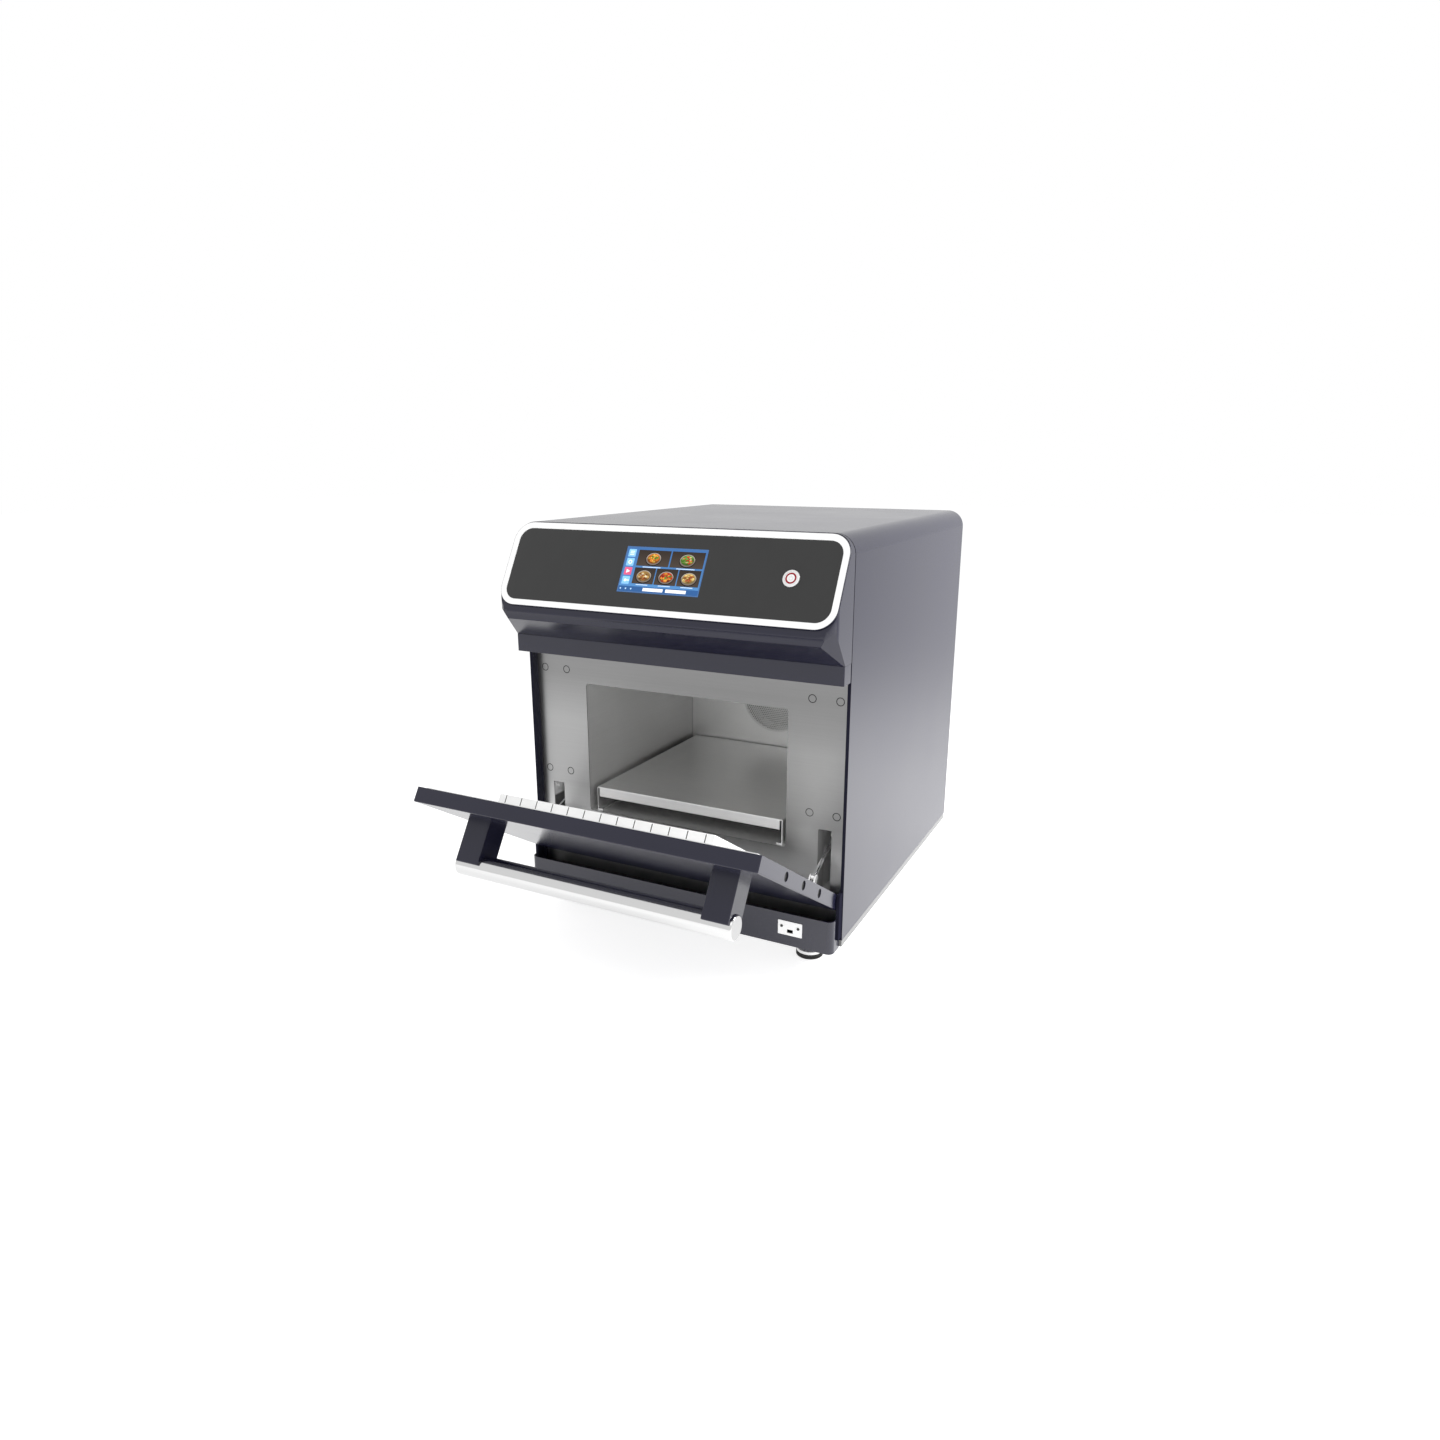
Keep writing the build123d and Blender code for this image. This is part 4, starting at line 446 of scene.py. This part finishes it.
PAINT = (0.010, 0.010, 0.024)
finish = {
    "body": coating("body_coating", PAINT, 0.22, 0.12, specular_ior_level=0.315),
    "hood": coating("hood_coating", PAINT, 0.22, 0.12, specular_ior_level=0.44),
    # Lit copy of the paint for the lower front panel: painted light, so it reads lighter than the
    # other front faces.
    "panel": coating("panel_painted_light_coating", (0.014, 0.014, 0.027), 0.24, 0.25, specular_ior_level=0.62),
    "door": coating("door_coating", PAINT, 0.20, 0.15, specular_ior_level=0.42),
    # Shaded copy of the door's paint for its right side: painted shade.
    "door_side": coating("door_side_painted_shade_coating", PAINT, 0.20, 0.15, specular_ior_level=0.34),
    # Dull copy of the paint with no shine, for painted shade on the hinge posts and the wrapper's
    # front hem.
    "post": coating("post_painted_shade_coating", (0.014, 0.014, 0.024), 0.8, 0.25, specular_ior_level=0.0),
    "strip": coating("pan_coating", (0.20, 0.20, 0.20), 0.5, 0.25),
    "plate": plate_steel(),
    "liner": brushed("liner_steel", (0.80, 0.80, 0.80), 0.30, X),
    "cavity": cavity_steel(),
    "deck": brushed("deck_steel", (0.83, 0.83, 0.825), 0.34, X, metallic=0.85),
    # Lit copy of the deck's steel for its front flange: painted light.
    "flange": brushed("flange_painted_light_steel", (0.95, 0.95, 0.945), 0.55, X, metallic=0.6),
    "grille": brushed("grille_steel", (0.66, 0.66, 0.655), 0.42, X),
    "guide": guide_plastic(),
    "galvanised": brushed("galvanised_sheet", (0.42, 0.43, 0.44), 0.45, Z, contrast=0.2),
    "aluminium": brushed("aluminium", (0.74, 0.75, 0.76), 0.38, Y),
    "dull": polished("dull_steel", (0.06, 0.06, 0.06), 0.5),
    "satin": polished("satin_steel", (0.80, 0.80, 0.80), 0.38),
    "chrome": polished("plated_steel", (0.90, 0.90, 0.905), 0.09),
    "bar": bar_steel(),
    "brass": polished("bush_brass", (0.60, 0.45, 0.18), 0.25),
    "trim": smooth_gloss("trim_white", (0.86, 0.86, 0.86), 0.22, coat_weight=0.3),
    "fascia": smooth_gloss("fascia_glass", (0.024, 0.024, 0.024), 0.30, specular_ior_level=0.35),
    "screen": smooth_gloss("screen_glass", (0.05, 0.14, 0.34), 0.10),
    "picture": screen_print(),
    "choke": smooth_gloss("choke_cover", (0.95, 0.95, 0.94), 0.30),
    "cap": smooth_gloss("button_cap", (0.80, 0.80, 0.80), 0.20),
    "ring": smooth_gloss("button_ring", (0.26, 0.003, 0.012), 0.45, specular_ior_level=0.3),
    "grey": smooth_gloss("mark_grey", (0.50, 0.50, 0.50), 0.35),
    # Dark lines of painted shade for the gaps round the fasteners and in the choke's slots.
    "mark": moulded("painted_shade_line", (0.03, 0.03, 0.03), 0.8, specular_ior_level=0.1),
    "port": moulded("port_plate", (0.93, 0.93, 0.93), 0.40),
    "black": moulded("black_plastic", (0.012, 0.012, 0.013), 0.5),
    "rubber": moulded("foot_rubber", (0.018, 0.018, 0.018), 0.75, grain=600, depth=0.0001),
    "board": moulded("circuit_board", (0.02, 0.13, 0.05), 0.35, grain=300, depth=0.0001),
    "iron": moulded("lacquered_iron", (0.05, 0.035, 0.03), 0.5, grain=700, depth=0.0001),
    "mica": moulded("mica_sheet", (0.55, 0.48, 0.33), 0.45, grain=200),
    "blanket": mineral("mineral_blanket", (0.75, 0.70, 0.55)),
    "filling": mineral("door_filling", (0.06, 0.06, 0.06)),
}

node_finish = {
    "outer_wrapper": "body",
    "base_pan": "strip",
    "rear_panel": "galvanised",
    "rear_panel_screws": "chrome",
    "front_plate": "plate",
    "front_plate_rivets": "plate",
    "hood_shell": "hood",
    "hood_lip": "hood",
    "fascia_trim": "trim",
    "fascia_panel": "fascia",
    "touch_screen": "screen",
    "display_module": "black",
    "power_button_bezel": "satin",
    "power_button_nut": "chrome",
    "power_button_cap": "cap",
    "power_button_ring": "ring",
    "cavity_box": "cavity",
    "fan_grille": "grille",
    "cook_deck": "deck",
    "cavity_insulation": "blanket",
    "cavity_stands": "galvanised",
    "fan_plenum": "galvanised",
    "convection_impeller": "dull",
    "convection_motor": "aluminium",
    "ring_heater": "iron",
    "waveguide": "galvanised",
    "ceiling_cover": "mica",
    "mode_stirrer": "aluminium",
    "magnetrons": "aluminium",
    "stirrer_motor": "galvanised",
    "hv_transformers": "iron",
    "hv_capacitors": "aluminium",
    "cooling_fan_housing": "black",
    "cooling_fan_rotor": "black",
    "control_board": "board",
    "line_filter": "galvanised",
    "door_switches": "black",
    "lower_front_panel": "panel",
    "port_plate": "port",
    "port_socket": "black",
    "port_screws": "dull",
    "hinge_posts": "post",
    "stay_guides": "guide",
    "cord_gland": "black",
    "door_shell": "door",
    "door_core": "filling",
    "door_liner": "liner",
    "door_choke": "choke",
    "door_side_plugs": "black",
    "hinge_bushes": "brass",
    "stay_clevises": "satin",
    "handle_arms": "door",
    "handle_bar": "bar",
    "handle_screws": "chrome",
    "stay_rod_left": "chrome",
    "stay_rod_right": "chrome",
    "foot_front_left": "rubber",
    "foot_front_right": "rubber",
    "foot_rear_left": "rubber",
    "foot_rear_right": "rubber",
}
for node_name, kind in node_finish.items():
    for material_slot in nodes[node_name].material_slots:
        material_slot.material = finish[kind]


# Softened edges of the folded sheets and mouldings

MERGE_DISTANCE = 2e-6
FLAT_ANGLE = math.radians(0.8)
BEVEL_ANGLE = math.radians(38)


def soften_edges(node, width):
    """Copy of a CAD node with its sharp edges slightly rounded, shown in the node's place."""
    source = nodes[node]
    mesh = source.data.copy()
    edit = bmesh.new()
    edit.from_mesh(mesh)
    bmesh.ops.remove_doubles(edit, verts=edit.verts[:], dist=MERGE_DISTANCE)
    bmesh.ops.dissolve_limit(
        edit, angle_limit=FLAT_ANGLE, verts=edit.verts[:], edges=edit.edges[:]
    )
    edit.to_mesh(mesh)
    edit.free()
    mesh.polygons.foreach_set("use_smooth", np.ones(len(mesh.polygons), bool))
    piece = bpy.data.objects.new(f"{node}_dressed", mesh)
    bpy.context.scene.collection.objects.link(piece)
    bevel = piece.modifiers.new("bevel", "BEVEL")
    bevel.width = width * MM
    bevel.segments = 2
    bevel.limit_method = "ANGLE"
    bevel.angle_limit = BEVEL_ANGLE
    weighted = piece.modifiers.new("weighted", "WEIGHTED_NORMAL")
    weighted.keep_sharp = True
    weighted.weight = 80
    graph = bpy.context.evaluated_depsgraph_get()
    made = bpy.data.meshes.new_from_object(piece.evaluated_get(graph))
    made.materials.clear()
    made.materials.append(finish[node_finish[node]])
    piece.modifiers.clear()
    piece.data = made
    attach(piece, source["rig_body"])
    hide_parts(node)


def recolour(node, kind, chosen):
    """Second finish on those faces of a softened node that a test picks."""
    mesh = bpy.data.objects[f"{node}_dressed"].data
    mesh.materials.append(finish[kind])
    for face in mesh.polygons:
        if chosen(face):
            face.material_index = 1


def is_front_hem(face):
    """Whether a face of the folded wrapper looks forward."""
    return face.normal.y < -0.8


def is_front_flange(face):
    """Whether a face of the deck looks forward."""
    return face.normal.y < -0.7


def is_right_side(face):
    """Whether a face of the door looks to the right."""
    return face.normal.x > 0.8


def is_outer_wall(face):
    """Whether a face of the trim frame turns away from the fascia's middle."""
    normal = np.array(face.normal)
    away = np.array(face.center) - SLANT_MIDDLE
    return abs(normal @ OUT_SLANT) < 0.97 and normal @ away > 0


# Pieces worked out on grids of points


def grid_faces(rows, columns, closed=False):
    """Four-sided faces of a grid of points, its last row joined to its first if closed."""
    index = np.arange(rows * columns).reshape(rows, columns)
    if closed:
        index = np.concatenate((index, index[:1]))
    corners = (index[:-1, :-1], index[:-1, 1:], index[1:, 1:], index[1:, :-1])
    return np.stack(corners, -1).reshape(-1, 4)


def gather(groups):
    """Several groups of points and faces as one group."""
    starts = np.cumsum([0] + [len(points) for points, _ in groups[:-1]])
    points = np.concatenate([points for points, _ in groups])
    faces = np.concatenate([faces + start for (_, faces), start in zip(groups, starts)])
    return points, faces


def add_piece(name, points, faces, body, kind, slot):
    """New mesh piece in row-frame metres, riding on a body."""
    mesh = bpy.data.meshes.new(name)
    mesh.from_pydata(points, [], faces)
    mesh.materials.append(finish[kind])
    piece = bpy.data.objects.new(name, mesh)
    bpy.context.scene.collection.objects.link(piece)
    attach(piece, body)
    return piece


def lathe(name, outline, centre, body, kind, slot):
    """Turned piece: a point is centre + (r cos a, r sin a, h), (r, h) from the outline.

    The outline goes from the foot up; its two ends are closed by flat discs.
    """
    turns = 96
    angle = np.arange(turns)[:, None] * 2 * math.pi / turns
    radius, height = np.array(outline[::-1]).T
    rings = (np.cos(angle) * radius, np.sin(angle) * radius, angle * 0 + height)
    points = np.stack(rings, -1).reshape(-1, 3) * MM + centre
    index = np.arange(len(points)).reshape(turns, -1)
    wall = grid_faces(turns, len(outline), closed=True)
    ends = (index[:, 0], index[::-1, -1])
    piece = add_piece(name, points, [*wall, *ends], body, kind, slot)
    rounded = np.arange(len(wall) + len(ends)) < len(wall)
    piece.data.polygons.foreach_set("use_smooth", rounded)
    piece.data.set_sharp_from_angle(angle=math.radians(40))
    return piece


def flat_ring(centre, up, radii, start=0.0, sweep=360.0, steps=48):
    """Flat ring or arc: a point is centre + r(cos a · across + sin a · up), r from two radii."""
    closed = sweep == 360.0
    count = steps if closed else steps + 1
    angle = np.radians(start + sweep * np.arange(count) / steps)
    spokes = np.outer(np.cos(angle), ACROSS) + np.outer(np.sin(angle), up)
    points = spokes[:, None] * np.array(radii)[:, None]
    return centre + points.reshape(-1, 3) * MM, grid_faces(count, 2, closed)


def make_feet():
    """Rubber pad with a rolled edge and rib, under a bright bell with its stud and thread."""
    radii = np.resize(THREAD_RADII, THREAD_POINTS)
    heights = THREAD_FOOT + THREAD_STEP * np.arange(THREAD_POINTS)
    bell = BELL_OUTLINE + list(zip(radii, heights)) + STUD_OUTLINE
    for corner in ("front_left", "front_right", "rear_left", "rear_right"):
        node = f"foot_{corner}"
        low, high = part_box(node)
        centre = np.array(((low.x + high.x) / 2, (low.y + high.y) / 2, low.z))
        rubber = lathe(f"{node}_pad", PAD_OUTLINE, centre, node, "rubber", "rubber")
        lathe(f"{node}_bell", bell, centre, node, "satin", "bright_steel")
        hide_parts(node)


def make_grille():
    """Perforated disc: a honeycomb of cells, each a flat face round a hole with its wall.

    A point of a cell is its centre + r(cos a, sin a) in the plate's plane. r is the hole's
    radius at the back and at the front of the sheet, then the six-sided cell's own edge.
    """
    low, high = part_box("fan_grille")
    disc_middle = np.array((0.0, low.y, (low.z + high.z) / 2))
    row_step = GRILLE_PITCH * math.sqrt(3) / 2
    reach = int(GRILLE_RADIUS / row_step) + 1
    row, column = np.mgrid[-reach : reach + 1, -reach : reach + 1]
    x = column * GRILLE_PITCH + row % 2 * GRILLE_PITCH / 2
    z = row * row_step
    inside = np.hypot(x, z) <= GRILLE_RADIUS - GRILLE_EDGE_SHARE * GRILLE_PITCH
    centres = np.stack((x[inside], x[inside] * 0, z[inside]), -1)

    spokes = 12
    angle = (np.arange(spokes) + 1) * 2 * math.pi / spokes
    direction = np.stack((np.cos(angle), angle * 0, np.sin(angle)), -1)
    corner = GRILLE_PITCH / math.sqrt(3)
    edge = np.where(np.arange(spokes) % 2 == 0, corner, GRILLE_PITCH / 2)
    hole = direction * GRILLE_HOLE_RADIUS
    cell = np.stack((hole - FORWARD * GRILLE_DEPTH, hole, direction * edge[:, None]), 1)
    points = centres[:, None] + cell.reshape(-1, 3)
    cell_faces = grid_faces(spokes, 3, closed=True)
    first = np.arange(len(centres))[:, None, None] * points.shape[1]
    cells = points.reshape(-1, 3) * MM + disc_middle, (cell_faces + first).reshape(-1, 4)

    rim_middle = disc_middle + FORWARD * GRILLE_RIM_LIFT * MM
    rim_radii = (GRILLE_RADIUS - GRILLE_RIM_SHARE * GRILLE_PITCH, GRILLE_RADIUS)
    rim = flat_ring(rim_middle, UPRIGHT, rim_radii, steps=144)
    disc = gather([cells, rim])
    piece = add_piece("grille_dressed", *disc, "cabinet", "grille", "cavity_steel")
    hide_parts("fan_grille")


def make_fastener_lines():
    """Thin ring of painted shade round each flush fastener, for the gap at its edge; the box of
    all eight gives the outer places.
    """
    low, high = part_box("front_plate_rivets")
    side = high.x - FASTENER_RADIUS * MM
    level = low.y - FASTENER_SHADE_LIFT * MM
    rings = []
    for x in (-side, FASTENER_SPACING * MM - side, side - FASTENER_SPACING * MM, side):
        for z in (low.z + FASTENER_RADIUS * MM, high.z - FASTENER_RADIUS * MM):
            rings.append(flat_ring(np.array((x, level, z)), UPRIGHT, FASTENER_SHADE_RADII))
    add_piece("fastener_painted_shade", *gather(rings), "cabinet", "mark", "brushed_steel")


def on_door(x, out, up):
    """Points by the door's own sides: its foot plus x across, out of its face and up along it."""
    level = np.multiply.outer(x, ACROSS) + np.multiply.outer(out, OUT_OF_DOOR)
    return place(DOOR_FOOT + level + np.multiply.outer(up, UP_DOOR))


def make_choke_lines():
    """Rectangle of painted shade in each slot round the choke's cover: its middle plus or minus
    half a width.

    The middles stand at whole pitches from the cover's own, on its two ends and two sides.
    """
    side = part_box("door_choke")[1].x / MM
    middle = (CHOKE_LOW + CHOKE_HIGH) / 2
    width = CHOKE_SHADE_WIDTH / 2 * np.array((-1, 1, 1, -1))
    levels = np.repeat(CHOKE_SLOT_LEVELS, 2)
    lines = []
    for end, sign in ((CHOKE_HIGH, 1), (CHOKE_LOW, -1)):
        for slot in range(-6, 7):
            x = slot * CHOKE_SLOT_PITCH + sign * width
            lines.append(on_door(x, levels, end + sign * CHOKE_SHADE_LIFT))
    for slot in range(-3, 4):
        for sign in (-1, 1):
            up = middle + slot * CHOKE_SLOT_PITCH - sign * width
            lines.append(on_door(sign * (side + CHOKE_SHADE_LIFT), levels, up))
    points = np.concatenate(lines)
    faces = np.arange(len(points)).reshape(-1, 4)
    add_piece("choke_painted_shade", points, faces, "door", "mark", "choke_white")


# Controls


class Canvas:
    """Flat coloured shapes on the screen, each a little above the one before."""

    def __init__(self, centre):
        self.centre = centre
        self.level = PICTURE_LIFT
        self.points = []
        self.faces = []
        self.tints = []

    def polygon(self, points, colour, lower=None):
        """Convex shape: a point is centre + u across + v up + the level out of the glass.

        Its lower points may have a colour of their own, for a gradient.
        """
        u, v = np.array(points).T
        start = sum(map(len, self.points))
        offset = np.outer(u, ACROSS) + np.outer(v, UP_SLANT) + self.level * OUT_SLANT
        is_low = v < (v.min() + v.max()) / 2
        self.points.append(self.centre + offset * MM)
        self.tints.append(np.where(is_low[:, None], rgba(lower or colour), rgba(colour)))
        self.faces.append(range(start, start + len(u)))
        self.level += PICTURE_STEP

    def panel(self, u, v, width, height, radius, colour, lower=None):
        """Rounded rectangle by its lower left corner, five points on each quarter circle."""
        angle = np.radians(np.add.outer((0, 90, 180, 270), np.arange(5) * 22.5)).ravel()
        right = u + width - radius
        left = u + radius
        top = v + height - radius
        foot = v + radius
        middles = np.repeat(((right, top), (left, top), (left, foot), (right, foot)), 5, axis=0)
        round_points = np.stack((np.cos(angle), np.sin(angle)), -1) * radius
        self.polygon(middles + round_points, colour, lower)

    def disc(self, u, v, radius, colour, flat=1.0, lower=None):
        """Disc or ellipse: a point is (u + r cos a, v + flat r sin a)."""
        corners = 28
        angle = np.arange(corners) * 2 * math.pi / corners
        points = np.stack((u + np.cos(angle) * radius, v + np.sin(angle) * radius * flat), -1)
        self.polygon(points, colour, lower)


def draw_dish(page, u, v, width, height, colours, dice):
    """One dark tile with a dish: a plate, a mound of small pieces and a few green leaves."""
    main, second, leaf = colours
    page.panel(u, v, width, height, 0.5, (0.030, 0.022, 0.018), (0.060, 0.045, 0.036))
    mu, mv = u + width / 2, v + height / 2 - 0.4
    reach = min(width, height) * 0.46
    page.disc(mu, mv - 0.8, reach * 1.18, (0.010, 0.008, 0.007), 0.78)
    page.disc(mu, mv - 0.4, reach * 1.08, (0.34, 0.30, 0.26), 0.76, (0.16, 0.13, 0.11))
    page.disc(mu, mv, reach * 0.92, shade(main, 0.45), 0.74, shade(main, 0.2))
    morsels = ((16, main, 0.27), (12, second, 0.20), (6, leaf, 0.15), (5, main, 0.13))
    for count, tone, size_share in morsels:
        for _ in range(count):
            turn, far = dice.random() * 2 * math.pi, math.sqrt(dice.random()) * 0.70
            light = 0.55 + 0.8 * dice.random()
            spot = mu + math.cos(turn) * far * reach, mv + math.sin(turn) * far * reach * 0.66
            radius = reach * size_share * (0.6 + 0.7 * dice.random())
            page.disc(*spot, radius, shade(tone, light), 0.75, shade(tone, light * 0.45))


def draw_keys(page):
    """Column of four keys with plain signs: three bars, a ring, a triangle and a key."""
    blue, red, pale = (0.22, 0.48, 0.78), (0.62, 0.10, 0.20), (0.80, 0.88, 0.96)
    mu = KEY_LEFT + KEY_WIDTH / 2
    for row, colour in enumerate((blue, blue, red, blue)):
        foot = KEY_TOP_ROW - row * KEY_PITCH
        mv = foot + KEY_HEIGHT / 2
        page.panel(KEY_LEFT, foot, KEY_WIDTH, KEY_HEIGHT, 0.8, shade(colour, 1.15), colour)
        if row == 0:
            for rise in (-2.8, -0.5, 1.8):
                page.panel(mu - 3.2, mv + rise, 6.4, 1.1, 0.4, pale)
        elif row == 1:
            page.disc(mu, mv, 3.0, pale)
            page.disc(mu, mv, 1.5, colour)
        elif row == 2:
            page.polygon(((mu - 2.4, mv - 2.8), (mu + 3.2, mv), (mu - 2.4, mv + 2.8)), pale)
        else:
            page.disc(mu - 1.0, mv, 2.0, pale)
            page.panel(mu, mv - 0.7, 5.0, 1.4, 0.4, pale)


def make_screen_picture():
    """Generic control page: dish tiles, a column of keys and two white fields."""
    page = Canvas(CONTROLS_MIDDLE + OUT_SLANT * GLASS_LEVEL * MM)
    left, foot = -PAGE_WIDTH / 2, -PAGE_HEIGHT / 2
    bar_middle = foot + FOOT_BAR_HEIGHT / 2
    sky, deep, dark = (0.045, 0.135, 0.34), (0.085, 0.24, 0.50), (0.03, 0.10, 0.27)
    page.panel(left, foot, PAGE_WIDTH, PAGE_HEIGHT, PAGE_ROUND, sky, deep)
    page.panel(left, foot, PAGE_WIDTH, FOOT_BAR_HEIGHT, PAGE_ROUND, dark)
    for u in FIELD_LEFTS:
        field_foot = bar_middle - FIELD_HEIGHT / 2
        page.panel(u, field_foot, FIELD_WIDTH, FIELD_HEIGHT, 0.4, (0.86, 0.89, 0.93))
    for u in DOT_PLACES:
        page.disc(u, bar_middle, DOT_RADIUS, (0.45, 0.66, 0.90))
    draw_keys(page)
    dishes = (
        ((0.80, 0.24, 0.03), (0.85, 0.52, 0.08), (0.08, 0.26, 0.03)),
        ((0.16, 0.36, 0.05), (0.68, 0.07, 0.03), (0.78, 0.62, 0.30)),
        ((0.62, 0.36, 0.11), (0.34, 0.10, 0.03), (0.86, 0.72, 0.46)),
        ((0.55, 0.06, 0.02), (0.86, 0.34, 0.05), (0.12, 0.32, 0.05)),
        ((0.80, 0.58, 0.20), (0.42, 0.16, 0.04), (0.60, 0.09, 0.04)),
    )
    dice = np.random.default_rng(11)
    tiles = []
    for column in range(2):
        tiles.append((TILE_LEFT + WIDE_TILE_PITCH * column, WIDE_TILE_ROW, WIDE_TILE_WIDTH))
    for column in range(3):
        tiles.append((TILE_LEFT + SMALL_TILE_PITCH * column, SMALL_TILE_ROW, SMALL_TILE_WIDTH))
    for (u, v, width), colours in zip(tiles, dishes):
        draw_dish(page, u, v, width, TILE_HEIGHT, colours, dice)
        page.panel(u + width * 0.22, v - 2.0, width * 0.56, 1.1, 0.3, (0.55, 0.70, 0.88))
    points, tints = np.concatenate(page.points), np.concatenate(page.tints)
    piece = add_piece("screen_picture", points, page.faces, "cabinet", "picture", "screen")
    tint = piece.data.attributes.new("tint", "FLOAT_COLOR", "POINT")
    tint.data.foreach_set("color", tints.astype(np.float32).ravel())


def make_button_marks():
    """Plain standby mark on the button's cap, an open ring and a bar, and the red band."""
    level = BUTTON_FACE_LEVEL + MARK_LIFT
    centre = CONTROLS_MIDDLE + (ACROSS * BUTTON_X + OUT_SLANT * level) * MM
    arc = flat_ring(centre, UP_SLANT, MARK_RADII, MARK_START, MARK_SWEEP)
    bar_across = MARK_BAR_WIDTH / 2 * np.array((-1, 1, 1, -1))
    bar_up = np.repeat(MARK_BAR_ENDS, 2)
    bar = centre + (np.outer(bar_across, ACROSS) + np.outer(bar_up, UP_SLANT)) * MM
    mark = gather([arc, (bar, np.array([(0, 1, 2, 3)]))])
    add_piece("standby_mark", *mark, "power_button", "grey", "button_white")
    band = flat_ring(centre, UP_SLANT, BAND_RADII)
    add_piece("button_band", *band, "power_button", "ring", "red_ring")


edge_width = {
    "hood_shell": 0.45,
    "hood_lip": 0.6,
    "lower_front_panel": 0.5,
    "outer_wrapper": 0.5,
    "door_shell": 0.3,
    "door_liner": 0.4,
    "cook_deck": 1.2,
    "hinge_posts": 0.4,
    "stay_clevises": 0.4,
    "port_plate": 0.2,
    "fascia_trim": 0.8,
}
for node_name, width in edge_width.items():
    soften_edges(node_name, width)
# Painted shade: the wrapper's forward-looking hem takes the dull post paint.
recolour("outer_wrapper", "post", is_front_hem)
recolour("fascia_trim", "body", is_outer_wall)
# Painted shade: the door's right side takes the shaded copy of its paint.
recolour("door_shell", "door_side", is_right_side)
# Painted light: the deck's forward-looking flange takes the lit copy of its steel.
recolour("cook_deck", "flange", is_front_flange)
make_feet()
make_grille()
make_fastener_lines()
make_choke_lines()
make_screen_picture()
make_button_marks()


# Stage, light and view


def make_floor():
    """Wide pale floor with an even glow, and a painted pool of light in front of the oven."""
    mesh = bpy.data.meshes.new("floor")
    half = 12.0
    corners = [(-half, -half, 0), (half, -half, 0), (half, half, 0), (-half, half, 0)]
    mesh.from_pydata(corners, [], [(0, 1, 2, 3)])
    floor = bpy.data.objects.new("floor", mesh)
    bpy.context.scene.collection.objects.link(floor)
    surface = Surface("floor_white", roughness=1.0, specular_ior_level=0.0)
    # The floor glows though it is no lamp: an even glow, with a painted pool of light stronger in
    # front of the oven.
    painted_light_pool = surface.ramp(Y, (0.1, 0.9), (1.0, 0.0))
    painted_glow = surface.blend(painted_light_pool, 0.41, 0.76)
    surface.feed(base_color=0.62, emission_color=painted_glow, emission_strength=1.0)
    mesh.materials.append(surface.material)


def make_world():
    """Even white studio light."""
    world = bpy.data.worlds.new("studio")
    bpy.context.scene.world = world
    world.use_nodes = True
    background = world.node_tree.nodes["Background"]
    background.inputs["Color"].default_value = rgba(1.0)
    background.inputs["Strength"].default_value = 1.0


def make_lamp(name, spot, aim, size, power):
    """Square soft lamp at a spot, aimed at a point."""
    data = bpy.data.lights.new(name, "AREA")
    data.shape = "SQUARE"
    data.size = size
    data.energy = power
    lamp = bpy.data.objects.new(name, data)
    bpy.context.scene.collection.objects.link(lamp)
    lamp.location = spot
    direction = Vector(aim) - Vector(spot)
    lamp.rotation_euler = direction.to_track_quat("-Z", "Y").to_euler()


def make_camera():
    """Camera at the photograph's viewpoint, solved from the oven's own edges."""
    frame_pixels, focal_pixels, sensor = 1440.0, 964.2, 36.0
    viewpoint = (637.0, -1131.4, 632.1)
    pitch, yaw = math.radians(15.438), math.radians(27.043)
    data = bpy.data.cameras.new("camera")
    data.sensor_fit = "HORIZONTAL"
    data.sensor_width = sensor
    data.lens = sensor * focal_pixels / frame_pixels
    data.clip_start = 0.05
    camera = bpy.data.objects.new("camera", data)
    bpy.context.scene.collection.objects.link(camera)
    camera.location = place(viewpoint)
    camera.rotation_euler = (math.pi / 2 - pitch, 0.0, yaw)
    bpy.context.scene.camera = camera


make_floor()
make_world()
make_lamp("key", spot=(0.9, -2.2, 2.8), aim=(0.0, 0.0, 0.3), size=1.4, power=8.0)
make_lamp("fill", spot=(2.6, -1.2, 1.8), aim=(0.0, 0.0, 0.3), size=2.0, power=4.0)
make_lamp("side", spot=(1.15, 0.5, 0.95), aim=(0.6, 0.25, 0.0), size=0.7, power=30.0)
make_camera()
bpy.context.scene.view_settings.view_transform = "Standard"
